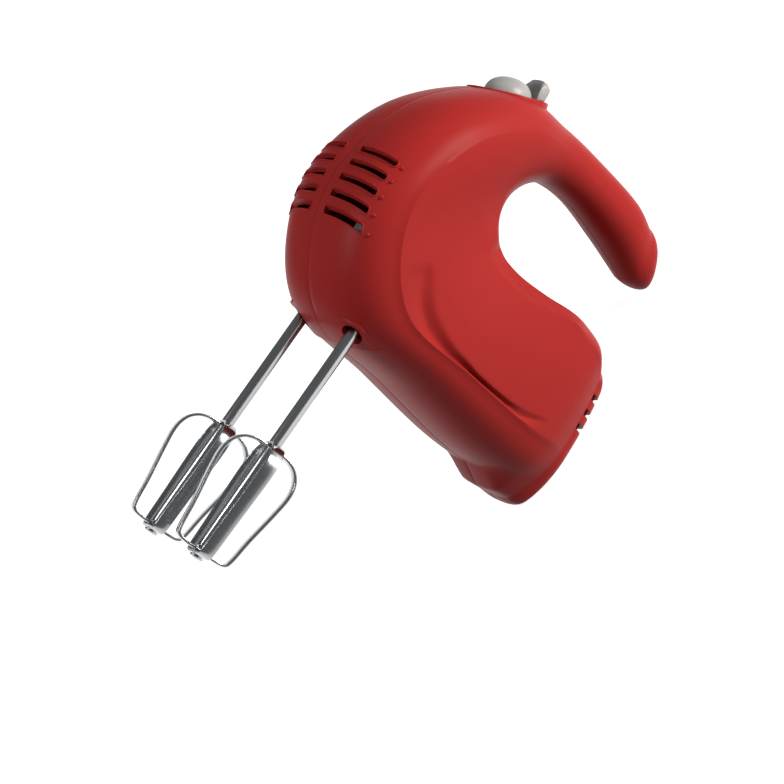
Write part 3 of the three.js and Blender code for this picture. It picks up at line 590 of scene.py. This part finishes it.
def half_shell(side):
    """One side's skin thickened to a wall, cut level with the heel's flat."""
    shell = half_skin(side, "left_shell" if side < 0 else "right_shell", False)
    solid = shell.modifiers.new("wall", "SOLIDIFY")
    solid.thickness = SHELL_WALL * 0.001
    solid.offset = -1
    solid.use_even_offset = False
    apply_modifiers(shell)
    for vertex in shell.data.vertices:
        vertex.co.z = max(vertex.co.z, 0)
    return shell


def surface_finder(obj):
    """Function that finds where a ray, in millimetres, first meets the object."""
    tree = BVHTree.FromObject(obj, bpy.context.evaluated_depsgraph_get())

    def find(start, direction):
        place, *_ = tree.ray_cast(Vector(to_row(start)), Vector(direction))
        return None if place is None else place * 1000 - ORIGIN
    return find


def tube_along(name, path, radius, sides=10):
    """Round tube along a closed path of points in millimetres."""
    path = [Vector(point) for point in path]
    count = len(path)
    vertices, faces = [], []
    side = None
    for i, here in enumerate(path):
        tangent = (path[(i + 1) % count] - path[i - 1]).normalized()
        side = tangent.orthogonal() if side is None else side - tangent * side.dot(tangent)
        side.normalize()
        other = tangent.cross(side)
        for k in range(sides):
            angle = 2 * math.pi * k / sides
            vertices.append(here + (side * math.cos(angle) + other * math.sin(angle)) * radius)
    # the ring may have turned along the way: the last one meets the first at its nearest point
    offset = min(range(sides), key=lambda k: (vertices[k] - vertices[(count - 1) * sides]).length)
    for i in range(count):
        shift = offset if i == count - 1 else 0
        for k in range(sides):
            a, b = i * sides + k, i * sides + (k + 1) % sides
            c = ((i + 1) % count) * sides + (k + 1 + shift) % sides
            d = ((i + 1) % count) * sides + (k + shift) % sides
            faces.append([a, b, c, d])
    return clean(new_object(name, to_row(vertices), faces))


def even_path(points, spacing):
    """Closed path through the points with more of them on the long stretches."""
    path = []
    for a, b in zip(points, points[1:] + points[:1]):
        steps = max(1, round(math.dist(a, b) / spacing))
        path += [(a[0] + (b[0] - a[0]) * k / steps, a[1] + (b[1] - a[1]) * k / steps) for k in range(steps)]
    return path


def vent_outline(height, inner_y, outer_y):
    return rounded_box_outline(
        height - VENT_HALF_HEIGHT, height + VENT_HALF_HEIGHT, inner_y, outer_y, VENT_CORNER)


def vent_cutters(side):
    cutters = []
    for height in VENT_HEIGHTS:
        cutters.append(prism(
            "vent_cutter", vent_outline(height, VENT_INNER_Y, VENT_OUTER_Y), VENT_CUT_FROM_Z, VENT_CUT_TO_Z,
            lambda x, y, z: (x + VENT_LEAN * (z - VENT_FACE_Z), side * y, z)))
    for height in REAR_VENT_HEIGHTS:
        cutters.append(prism(
            "rear_vent_cutter", vent_outline(height, REAR_VENT_INNER_Y, REAR_VENT_OUTER_Y),
            HEEL_Z - 5, REAR_VENT_FROM_Z,
            lambda x, y, z: (x, side * y, z)))
    return cutters


def vent_trims(side, find):
    """Raised rim round each front vent, and the small pip beyond its outer end."""
    trims = []
    lean = Vector((-VENT_LEAN, 0, -1)).normalized()
    for height in VENT_HEIGHTS:
        path = []
        for x, y in even_path(vent_outline(height, VENT_INNER_Y, VENT_OUTER_Y), VENT_RIM_SPACING):
            found = find((x + VENT_LEAN * SEARCH_REACH, side * y, VENT_FACE_Z + SEARCH_REACH), lean)
            path.append(found + Vector((VENT_RIM_LIFT, 0, VENT_RIM_LIFT)))
        trims.append(tube_along("vent_rim", path, VENT_RIM_RADIUS))
        pip_y = VENT_OUTER_Y + PIP_GAP
        found = find((height + VENT_LEAN * SEARCH_REACH, side * pip_y, VENT_FACE_Z + SEARCH_REACH), lean)
        trims.append(ball("vent_pip", found, PIP_RADIUS))
    return trims


def ball(name, centre, radius):
    profile = [(radius * math.sin(math.pi * k / 10), -radius * math.cos(math.pi * k / 10)) for k in range(11)]
    profile[0] = (0, -radius)
    profile[-1] = (0, radius)
    return turned(name, profile, centre, (1, 0, 0), 16)


def slab_faces(columns, rows):
    """Faces of a slab whose top and bottom are grids of `columns` by `rows` points."""
    half = columns * rows
    faces = []
    for j in range(columns - 1):
        for i in range(rows - 1):
            a = j * rows + i
            faces.append([a, a + 1, a + rows + 1, a + rows])
            faces.append([half + a + rows, half + a + rows + 1, half + a + 1, half + a])
    for j in range(columns - 1):
        for i in (0, rows - 1):
            a = j * rows + i
            faces.append([a, a + rows, half + a + rows, half + a])
    for i in range(rows - 1):
        for j in (0, columns - 1):
            a = j * rows + i
            faces.append([a, a + 1, half + a + 1, half + a])
    return faces


def exit_pad(side, find):
    """Low pad round one exit: flush at its front, standing proud along its rear edge."""
    top, bottom = [], []
    for y in np.linspace(SEAM_GAP, PAD_HALF_LENGTH, PAD_COLUMNS):
        fade = math.sqrt(max(0.0, 1 - (y / PAD_HALF_LENGTH) ** 2))
        rear = PAD_REAR_Z - PAD_REAR_CURVE * y * y
        front = PAD_FRONT_Z - PAD_FRONT_CURVE * y * y
        for share, drop in PAD_ROWS:
            z = front + (rear - front) * share
            surface = find((PAD_SEARCH_X, side * y, z), (1, 0, 0))
            sink = PAD_SINK * (1 - fade * min(1, PAD_EASE * share))
            rise = PAD_RISE * share * fade * (1 - drop) - sink
            top.append((surface.x - rise, side * y, z))
            bottom.append((surface.x + PAD_THICKNESS, side * y, z))
    return clean(new_object("exit_pad", to_row(top + bottom), slab_faces(PAD_COLUMNS, len(PAD_ROWS))))


def bezel_half(side):
    """Half of the raised oval collar round the thumb control."""
    columns = BEZEL_STEPS + 1
    vertices, faces = [], []
    for offset, out in BEZEL_PROFILE:
        for k in range(columns):
            angle = math.pi * k / BEZEL_STEPS
            back = (BEZEL_HALF_LENGTH + offset * BEZEL_FLARE_ALONG) * math.cos(angle)
            # towards the handle the flare fades out
            left = float(np.clip(FLARE_AT_SIDE - FLARE_FADE * math.cos(angle), 0, 1))
            half_width = BEZEL_HALF_WIDTH + offset * BEZEL_FLARE_ACROSS * left
            across = max(half_width * math.sin(angle), SEAM_GAP)
            vertices.append(control(back, side * across, out))
    last = (len(BEZEL_PROFILE) - 1) * columns
    for a in range(0, last, columns):
        for k in range(BEZEL_STEPS):
            b = a + k
            faces.append([b, b + 1, b + columns + 1, b + columns])
        faces.append([a, a + columns, a + columns + BEZEL_STEPS, a + BEZEL_STEPS])
    faces += [list(range(columns)), list(range(last, last + columns))]
    return clean(new_object("bezel", to_row(vertices), faces))


def screw_reach(x):
    return HANDLE_SCREW_REACH if x > HANDLE_FROM_X else BODY_SCREW_REACH


def screw_posts(side):
    """Posts for the housing screws, from the seam to just inside the outer skin."""
    inside = half_skin(side, "inside", True)
    normals = [vertex.normal.copy() for vertex in inside.data.vertices]
    for vertex, normal in zip(inside.data.vertices, normals):
        vertex.co -= normal * POST_INSET
    radius = RIGHT_POST_RADIUS if side > 0 else LEFT_POST_RADIUS
    profile = [(0, SEAM_GAP), (radius, SEAM_GAP), (radius, POST_LENGTH), (0, POST_LENGTH)]
    posts = [turned("post", profile, (x, 0, z), (0, side, 0), 28) for x, z in SCREW_PLACES]
    return combine(joined("posts", posts), [inside], "INTERSECT")


def screw_cutters(side):
    """Pilot holes in the left half; screw holes and counterbores in the right half."""
    cutters = []
    for x, z in SCREW_PLACES:
        if side < 0:
            name, segments = "pilot", 20
            profile = [
                (0, SCREW_CUT_FROM), (PILOT_RADIUS, SCREW_CUT_FROM),
                (PILOT_RADIUS, PILOT_DEPTH), (0, PILOT_DEPTH),
            ]
        else:
            name, segments = "counterbore", 28
            reach = screw_reach(x)
            profile = [
                (0, SCREW_CUT_FROM), (SCREW_HOLE_RADIUS, SCREW_CUT_FROM), (SCREW_HOLE_RADIUS, reach),
                (COUNTERBORE_RADIUS, reach), (COUNTERBORE_RADIUS, SCREW_CUT_TO), (0, SCREW_CUT_TO),
            ]
        cutters.append(turned(name, profile, (x, 0, z), (0, side, 0), segments))
    return cutters


def exit_cutter(side):
    """Round recess of a beater exit, stepping down to its bore."""
    profile = [
        (0, EXIT_CUT_FROM), (EXIT_RADIUS, EXIT_CUT_FROM), (EXIT_RADIUS, EXIT_FLOOR),
        (EXIT_BORE, EXIT_FLOOR + EXIT_STEP), (EXIT_BORE, EXIT_CUT_TO), (0, EXIT_CUT_TO),
    ]
    return turned("exit_cutter", profile, (0, side * BEATER_Y, 0), (1, 0, 0))


def control_cutter():
    """Round well of the control, with its edge eased into the collar's top."""
    edge = [(CONTROL_HOLE_RADIUS + beyond, height) for beyond, height in CONTROL_WELL]
    profile = [(0, edge[0][1])] + edge + [(0, CONTROL_CUT_TOP)]
    return turned("control_cutter", profile, control(0, 0, 0), OUT, 96)


def cord_cutter():
    profile = [
        (0, CORD_CUT_FROM), (CORD_HOLE_RADIUS, CORD_CUT_FROM),
        (CORD_HOLE_RADIUS, CORD_CUT_TO), (0, CORD_CUT_TO),
    ]
    return turned("cord_cutter", profile, CORD_PLACE, CORD_DIRECTION, 40)


def exit_collar(side):
    """Solid behind the skin that carries the exit's bore."""
    profile = [
        (0, EXIT_COLLAR_FROM), (EXIT_COLLAR_RADIUS, EXIT_COLLAR_FROM),
        (EXIT_COLLAR_RADIUS, EXIT_COLLAR_TO), (0, EXIT_COLLAR_TO),
    ]
    return turned("exit_collar", profile, (0, side * BEATER_Y, 0), (1, 0, 0))


def make_shell(side):
    """One half of the housing with everything moulded onto it and cut through it."""
    shell = half_shell(side)
    find = surface_finder(shell)
    trims = joined("trims", vent_trims(side, find) + [bezel_half(side), exit_pad(side, find)])
    combine(shell, [trims, joined("inner_posts", [exit_collar(side), screw_posts(side)])], "UNION")
    cutters = vent_cutters(side) + [exit_cutter(side), control_cutter(), cord_cutter()] + screw_cutters(side)
    combine(shell, [joined("cutters", cutters)], "DIFFERENCE")
    return clean(shell, 35)


# ---- thumb control ----
def rounded_profile(points, steps=5):
    """Catmull-Rom through an open run of (a, b) points."""
    points = np.array(points, float)
    smooth = []
    for i in range(len(points) - 1):
        before, here = points[max(i - 1, 0)], points[i]
        after, later = points[i + 1], points[min(i + 2, len(points) - 1)]
        for k in range(steps):
            t = k / steps
            smooth.append(
                (2 * t**3 - 3 * t**2 + 1) * here + (t**3 - 2 * t**2 + t) * (after - before) / 2
                + (3 * t**2 - 2 * t**3) * after + (t**3 - t**2) * (later - here) / 2)
    smooth.append(points[-1])
    return [tuple(point) for point in smooth]


DOME_RADIUS = 11.4
SKIRT_RADIUS = 10.7
DOME_HEIGHT = 8.7
DOME_BASE = -0.5
DOME_ROUNDING, DOME_FALL = 0.95, 0.9
DOME_STEPS = 24
DOME_LIP = 0.4
SKIRT_BASE, SKIRT_BEVEL = -5, 0.2
# The stem and the hollow under the cap, as (radius, height) pairs.
CAP_INSIDE = [
    (0, -15.5), (2.6, -14.6), (3.5, -12), (3.5, 5.8),
    (6.2, 5.1), (8.6, 3.2), (10, -0.5), (10, -5),
]
SELECTOR_RING = [
    (11.7, -6.6), (14.2, -6.6), (14.2, -1.3), (13.8, -0.9),
    (12.1, -0.9), (11.7, -1.3), (11.7, -6.6),
]
# The thumb tab's side view, as (towards the handle, outwards) pairs.
TAB_FRONT = [(11.9, -2.6), (11.9, 0.8), (11.8, 3.6), (12.2, 6.5), (13.4, 9), (15.4, 10.6)]
TAB_REAR = [(17.5, 10.1), (18.7, 8.2), (18.6, 5.4), (17.9, 2.8), (17.2, 1)]
TAB_BASE = [(12.8, 0.5), (12.8, -2.6)]
TAB_HALF_WIDTH = 7.2
TAB_FOOT_SHARE = 0.55
TAB_EDGE_RADIUS = 1.0
TAB_CROWN, TAB_CROWN_HEIGHT = 2.4, 10
TAB_HOLLOW_BACK, TAB_HOLLOW_DOWN = 2.3, 0.8
TAB_HOLLOW_REACH, TAB_HOLLOW_FADE = 0.97, 0.7
TAB_STEPS = 18


def make_eject_button():
    """Domed push button: a thin cap on a stem."""
    dome = []
    for k in range(DOME_STEPS + 1):
        angle = (1 - k / DOME_STEPS) * math.pi / 2
        radius = DOME_RADIUS * math.sin(angle) ** DOME_ROUNDING
        dome.append((radius, DOME_BASE + DOME_HEIGHT * math.cos(angle) ** DOME_FALL))
    dome[-1] = (0, DOME_BASE + DOME_HEIGHT)
    skirt = [
        (SKIRT_RADIUS - SKIRT_BEVEL, SKIRT_BASE), (SKIRT_RADIUS, SKIRT_BASE + SKIRT_BEVEL),
        (SKIRT_RADIUS, DOME_BASE - DOME_LIP),
    ]
    return turned("eject_button_cap", CAP_INSIDE + skirt + dome, control(0, 0, 0), OUT, 96)


def tab_slice(outline, front_count, share):
    """The tab's side view at `share` of its half width, eased at the edges and hollow in front."""
    centre = np.mean(outline, axis=0)
    across = TAB_HALF_WIDTH * share
    edge = max(0.0, abs(across) - (TAB_HALF_WIDTH - TAB_EDGE_RADIUS))
    inset = TAB_EDGE_RADIUS - math.sqrt(max(0.0, TAB_EDGE_RADIUS**2 - edge**2))
    fade = (1 - share**2) ** TAB_HOLLOW_FADE
    points = []
    for i, (back, out) in enumerate(outline):
        toward = np.array([back, out]) - centre
        point = centre + toward * (1 - inset / np.hypot(*toward))
        if i < front_count:
            depth = math.sin(math.pi * min(1, i / (front_count - 1)) * TAB_HOLLOW_REACH)
            point[0] += TAB_HOLLOW_BACK * depth * fade
            point[1] -= TAB_HOLLOW_DOWN * depth * fade
        point[1] -= TAB_CROWN * max(0, out / TAB_CROWN_HEIGHT) ** 2 * share**4
        points.append(control(point[0], across if out > 0 else across * TAB_FOOT_SHARE, point[1]))
    return points


def make_tab():
    """Thumb tab, hollow in front and crowned at its tip."""
    front = rounded_profile(TAB_FRONT)
    outline = front + rounded_profile(TAB_REAR, 4) + TAB_BASE
    count = len(outline)
    vertices, faces = [], []
    for j in range(TAB_STEPS + 1):
        share = math.sin((j / TAB_STEPS - 0.5) * math.pi)
        vertices += tab_slice(outline, len(front), share)
    for j in range(TAB_STEPS):
        for i in range(count):
            a, b = j * count + i, j * count + (i + 1) % count
            faces.append([a, b, b + count, a + count])
    faces += [list(range(count))[::-1], list(range(TAB_STEPS * count, (TAB_STEPS + 1) * count))]
    return clean(new_object("tab", to_row(vertices), faces))


def make_selector():
    """Turning ring round the button, with the thumb tab at its rear."""
    ring = turned("selector_ring", SELECTOR_RING, control(0, 0, 0), OUT, 96)
    combine(ring, [make_tab()], "UNION")
    return clean(ring, 50)


# ---- beaters ----
TUBE_RADIUS = 3
TUBE_BORE = 2.3
TUBE_MOUTH_RADIUS, TUBE_CHAMFER = 2.7, 0.4
TUBE_FROM_X = 36
LUG_OUTLINE = (2.5, 4.6, -0.7, 0.7)
LUG_FROM_X, LUG_TO_X = 30, 33.5
LOOP_TOP = -60.9
LOOP_WIDTH = 6.4
LOOP_THICKNESS = 1.3
LOOP_CORNER = 0.42
LOOP_GAP = 0.3
LOOP_TURN = math.radians(20)
TUBE_HOLE_RADIUS, RIVET_HOLE_RADIUS = 3.1, 2
# Radius and depth below the top hub of one side of a beater loop.
LOOP_PROFILE = [
    (4, 0), (9, 0.4), (14.2, 2.8), (18, 7.6), (19.4, 15), (18.2, 26.5),
    (15.9, 42), (14.5, 54.5), (12.6, 58.4), (8, 59.4), (4, 59.4),
]
LOOP_HEIGHT = LOOP_PROFILE[-1][1]
RIVET_SHANK_RADIUS, RIVET_SHANK = 1.8, 10
RIVET_HEAD_RADIUS, RIVET_BEVEL = 3.4, 0.1
# Heights of the rivet's seat, the edge of its head and the foot of its dome, below the loops.
RIVET_SEAT, RIVET_EDGE, RIVET_DOME_FOOT = 0.3, 0.6, 0.7
RIVET_DOME = 0.9


def loop_axes(turn):
    """Outward and sideways directions of a strip turned by `turn` about the beater's axis."""
    return Vector((0, math.sin(turn), -math.cos(turn))), Vector((0, math.cos(turn), math.sin(turn)))


def loop_path(inner):
    """Closed outer line of a strip, seen from its side; the inner loop runs inside the outer one."""
    drop = LOOP_THICKNESS + LOOP_GAP if inner else 0
    side = [
        (radius, drop + depth * (LOOP_HEIGHT - 2 * drop) / LOOP_HEIGHT)
        for radius, depth in LOOP_PROFILE
    ]
    side = rounded_profile([(0, side[0][1])] + side + [(0, side[-1][1])], 6)
    return side + [(-radius, depth) for radius, depth in side[-2:0:-1]]


def make_loop(name, y, inner):
    """One strip bent to a closed loop, pierced for the tube at its top and the rivet below."""
    path = loop_path(inner)
    radial, width = loop_axes((0 if inner else math.pi / 2) - LOOP_TURN)
    outline = rounded_box_outline(-LOOP_WIDTH / 2, LOOP_WIDTH / 2, 0, LOOP_THICKNESS, LOOP_CORNER, 3)
    count, columns = len(path), len(outline)
    vertices, faces = [], []
    for i, (radius, depth) in enumerate(path):
        ahead, behind = path[(i + 1) % count], path[i - 1]
        along_r, along_d = ahead[0] - behind[0], ahead[1] - behind[1]
        size = math.hypot(along_r, along_d)
        inward = (-along_d / size, along_r / size)
        for across, into in outline:
            r = radius + inward[0] * into
            d = depth + inward[1] * into
            vertices.append(Vector((LOOP_TOP - d, y, 0)) + radial * r + width * across)
    for i in range(count):
        for k in range(columns):
            a, b = i * columns + k, i * columns + (k + 1) % columns
            c, d = ((i + 1) % count) * columns + (k + 1) % columns, ((i + 1) % count) * columns + k
            faces.append([a, b, c, d])
    loop = clean(new_object(name, to_row(vertices), faces))
    tube_hole = [(0, -5), (TUBE_HOLE_RADIUS, -5), (TUBE_HOLE_RADIUS, 20), (0, 20)]
    rivet_hole = [(0, 50), (RIVET_HOLE_RADIUS, 50), (RIVET_HOLE_RADIUS, 70), (0, 70)]
    holes = [
        turned("tube_hole", tube_hole, (LOOP_TOP, y, 0), (-1, 0, 0), 48),
        turned("rivet_hole", rivet_hole, (LOOP_TOP, y, 0), (-1, 0, 0), 32),
    ]
    combine(loop, holes, "DIFFERENCE")
    return clean(loop, 50)


def make_tube(name, y):
    """The beater's tube, open at its inner end and with the two lugs that the gear drives."""
    length = TUBE_FROM_X + BEATER_LENGTH
    profile = [
        (TUBE_BORE, 0), (TUBE_BORE, length), (TUBE_MOUTH_RADIUS, length),
        (TUBE_RADIUS, length - TUBE_CHAMFER), (TUBE_RADIUS, TUBE_CHAMFER),
        (TUBE_MOUTH_RADIUS, 0), (TUBE_BORE, 0),
    ]
    tube = turned(name, profile, (TUBE_FROM_X, y, 0), (-1, 0, 0), 64)
    radial, width = loop_axes(math.pi / 2 - LOOP_TURN)
    lugs = []
    for way in (-1, 1):
        lugs.append(prism(
            "lug", rounded_box_outline(*LUG_OUTLINE, 0.25, 2), LUG_FROM_X, LUG_TO_X,
            lambda r, w, x: Vector((x, y, 0)) + radial * (r * way) + width * w))
    return clean(combine(tube, lugs, "UNION"), 40)


def make_rivet(name, y):
    """Domed rivet that ties the two loops together at the bottom."""
    profile = [
        (0, LOOP_HEIGHT - RIVET_SHANK), (RIVET_SHANK_RADIUS, LOOP_HEIGHT - RIVET_SHANK),
        (RIVET_SHANK_RADIUS, LOOP_HEIGHT + RIVET_SEAT),
        (RIVET_HEAD_RADIUS - RIVET_BEVEL, LOOP_HEIGHT + RIVET_SEAT),
        (RIVET_HEAD_RADIUS, LOOP_HEIGHT + RIVET_EDGE),
    ]
    for angle in np.linspace(0.15, math.pi / 2, 8):
        height = LOOP_HEIGHT + RIVET_DOME_FOOT + RIVET_DOME * math.sin(angle)
        profile.append((RIVET_HEAD_RADIUS * math.cos(angle), height))
    profile[-1] = (0, LOOP_HEIGHT + RIVET_DOME_FOOT + RIVET_DOME)
    return turned(name, profile, (LOOP_TOP, y, 0), (-1, 0, 0), 48)


# ---- materials ----
BROAD_SCALE = 22
GRAIN_DEPTH = 0.0005
ROUGHNESS_DRIFT = 0.12


def rgb(*values):
    """Linear colour from three 0-255 screen values."""
    shares = [value / 255 for value in values]
    linear = [c / 12.92 if c <= 0.04045 else ((c + 0.055) / 1.055) ** 2.4 for c in shares]
    return (*linear, 1.0)


def noise(nodes, links, place, scale, detail):
    made = nodes.new("ShaderNodeTexNoise")
    made.inputs["Scale"].default_value = scale
    made.inputs["Detail"].default_value = detail
    links.new(place, made.inputs["Vector"])
    return made.outputs["Fac"]


def material(name, colour, roughness, metallic=0.0, spread=0.04, grain=500.0, bump=0.02, **sockets):
    """Principled material whose colour and roughness drift a little, with a fine surface grain."""
    made = bpy.data.materials.new(name)
    made.use_nodes = True
    nodes, links = made.node_tree.nodes, made.node_tree.links
    shader = nodes["Principled BSDF"]
    shader.inputs["Metallic"].default_value = metallic
    for socket, value in sockets.items():
        shader.inputs[socket.replace("_", " ")].default_value = value
    place = nodes.new("ShaderNodeTexCoord").outputs["Object"]
    broad = noise(nodes, links, place, BROAD_SCALE, 4)
    fine = noise(nodes, links, place, grain, 3)
    shade = nodes.new("ShaderNodeValToRGB")
    dark, light = shade.color_ramp.elements
    dark.position = 0.3
    dark.color = tuple(c * (1 - spread) for c in colour[:3]) + (1,)
    light.position = 0.7
    light.color = tuple(min(1, c * (1 + spread)) for c in colour[:3]) + (1,)
    links.new(broad, shade.inputs["Fac"])
    links.new(shade.outputs["Color"], shader.inputs["Base Color"])
    rough = nodes.new("ShaderNodeMapRange")
    rough.inputs["To Min"].default_value = roughness * (1 - ROUGHNESS_DRIFT)
    rough.inputs["To Max"].default_value = roughness * (1 + ROUGHNESS_DRIFT)
    links.new(fine, rough.inputs["Value"])
    links.new(rough.outputs["Result"], shader.inputs["Roughness"])
    relief = nodes.new("ShaderNodeBump")
    relief.inputs["Strength"].default_value = bump
    relief.inputs["Distance"].default_value = GRAIN_DEPTH
    links.new(fine, relief.inputs["Height"])
    links.new(relief.outputs["Normal"], shader.inputs["Normal"])
    return made


SLOT_MATERIALS = {
    "housing_red": material(
        "housing_red", rgb(163, 42, 40), 0.38, grain=900, bump=0.05, Specular_IOR_Level=0.05),
    "control_grey": material("control_grey", rgb(156, 155, 154), 0.42, grain=1200, bump=0.05),
    "black_plastic": material("black_plastic", rgb(30, 30, 32), 0.5, grain=1200, bump=0.12),
    "nylon": material("nylon", rgb(226, 221, 206), 0.45),
    "steel": material("steel", rgb(150, 152, 156), 0.32, 1.0),
    "chromed_steel": material("chromed_steel", rgb(168, 170, 172), 0.19, 1.0, grain=300, bump=0.015),
    "motor_iron": material("motor_iron", rgb(95, 98, 102), 0.5, 1.0),
    "copper": material("copper", rgb(190, 108, 52), 0.32, 1.0),
    "bronze": material("bronze", rgb(168, 122, 55), 0.4, 1.0),
    "carbon": material("carbon", rgb(34, 36, 40), 0.8),
    "circuit_board": material("circuit_board", rgb(38, 98, 60), 0.5),
    "cast_aluminium": material("cast_aluminium", rgb(166, 168, 170), 0.45, 1.0),
}


def paint(obj, slot):
    obj.data.materials.clear()
    obj.data.materials.append(SLOT_MATERIALS[slot])


def finish_piece(obj, body, slot, node):
    """Paints a visible piece and lets it ride its body in the CAD node's place."""
    paint(obj, slot)
    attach(obj, body)
    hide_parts(node)


# ---- build ----
finish_piece(make_shell(-1), "housing", "housing_red", "left_housing")
finish_piece(make_shell(1), "housing", "housing_red", "right_housing")
finish_piece(make_eject_button(), "eject_button", "control_grey", "eject_button")
finish_piece(make_selector(), "speed_selector", "control_grey", "speed_selector")
for side_name, y in (("left", -BEATER_Y), ("right", BEATER_Y)):
    body = f"{side_name}_beater"
    for piece, node in (
        (make_tube(f"{side_name}_tube", y), f"{side_name}_beater_tube"),
        (make_loop(f"{side_name}_wide_strip", y, False), f"{side_name}_outer_loop"),
        (make_loop(f"{side_name}_narrow_strip", y, True), f"{side_name}_inner_loop"),
        (make_rivet(f"{side_name}_end_rivet", y), f"{side_name}_rivet"),
    ):
        finish_piece(piece, body, "chromed_steel", node)

# ---- carried-over nodes ----
for row in frame["record"]["subparts"]:
    paint(frame["nodes"][row["node"]], row["material_slot"])


# ---- camera, lights and floor ----
VIEW_TILT, VIEW_SWING, VIEW_ROLL = 0.5934119, 0.1696612, 0.6059356
VIEW_DISTANCE = 1000.0
VIEW_RIGHT, VIEW_UP = -29.459144, 30.439634  # where the mixer's origin stands in the view
LENS, SENSOR = 101.0204082, 36.0


def camera_axes():
    """The view's right, up and towards-the-camera directions."""
    tilt, swing, roll = VIEW_TILT, VIEW_SWING, VIEW_ROLL
    level, raised = math.cos(swing) * math.cos(tilt), math.cos(swing) * math.sin(tilt)
    towards = Vector((-math.sin(swing), -level, raised))
    first = Vector((0, -math.sin(tilt), -math.cos(tilt)))
    second = Vector((math.cos(swing), -math.sin(swing) * math.cos(tilt), math.sin(swing) * math.sin(tilt)))
    right = first * math.cos(roll) + second * math.sin(roll)
    up = first * -math.sin(roll) + second * math.cos(roll)
    return right, up, towards


def make_camera():
    right, up, towards = camera_axes()
    place = towards * VIEW_DISTANCE - right * VIEW_RIGHT - up * VIEW_UP
    data = bpy.data.cameras.new("camera")
    data.sensor_width = SENSOR
    data.lens = LENS
    camera = bpy.data.objects.new("camera", data)
    turn = Matrix((right, up, towards)).transposed().to_4x4()
    camera.matrix_world = Matrix.Translation(Vector(to_row(place))) @ turn
    bpy.context.scene.collection.objects.link(camera)
    bpy.context.scene.camera = camera


MIDDLE = (CAD_BOX[0] + CAD_BOX[1]) / 2
LIGHT_DISTANCE = 0.9
SKY_LIGHT = 0.18
FLOOR_GLOW = 0.8
FLOOR_REACH = 6
WHITE = (1, 1, 1, 1)


def make_light(name, direction, size, power, colour):
    """Soft box at `direction`, given as the camera's right, up and towards shares."""
    right, up, towards = camera_axes()
    away = (right * direction[0] + up * direction[1] + towards * direction[2]).normalized()
    data = bpy.data.lights.new(name, "AREA")
    data.shape = "RECTANGLE"
    data.size, data.size_y = size
    data.energy = power
    data.color = colour
    light = bpy.data.objects.new(name, data)
    light.location = MIDDLE + away * LIGHT_DISTANCE
    light.rotation_euler = (-away).to_track_quat("-Z", "Y").to_euler()
    bpy.context.scene.collection.objects.link(light)


def make_floor():
    """Pale glowing floor, which bounces no soft light onto the mixer."""
    reach = FLOOR_REACH
    corners = [(-reach, -reach, 0), (reach, -reach, 0), (reach, reach, 0), (-reach, reach, 0)]
    floor = new_object("floor", corners, [[0, 1, 2, 3]], False)
    coat = material("floor_paint", (0.9, 0.9, 0.9, 1), 0.9, bump=0.0, spread=0.005)
    shader = coat.node_tree.nodes["Principled BSDF"]
    shader.inputs["Emission Color"].default_value = WHITE
    shader.inputs["Emission Strength"].default_value = FLOOR_GLOW
    floor.data.materials.append(coat)
    floor.visible_diffuse = False


def make_sky():
    world = bpy.data.worlds.new("studio")
    world.use_nodes = True
    background = world.node_tree.nodes["Background"]
    background.inputs["Color"].default_value = WHITE
    background.inputs["Strength"].default_value = SKY_LIGHT
    bpy.context.scene.world = world
    bpy.context.scene.view_settings.view_transform = "Standard"


make_camera()
make_floor()
make_sky()
make_light("key", direction=(0.76, 0.48, 0.52), size=(0.35, 0.35), power=10.2, colour=(1, 0.96, 0.9))
make_light("sheen", direction=(-0.85, 0.2, 0.45), size=(0.25, 0.35), power=3.2, colour=(0.95, 0.97, 1))
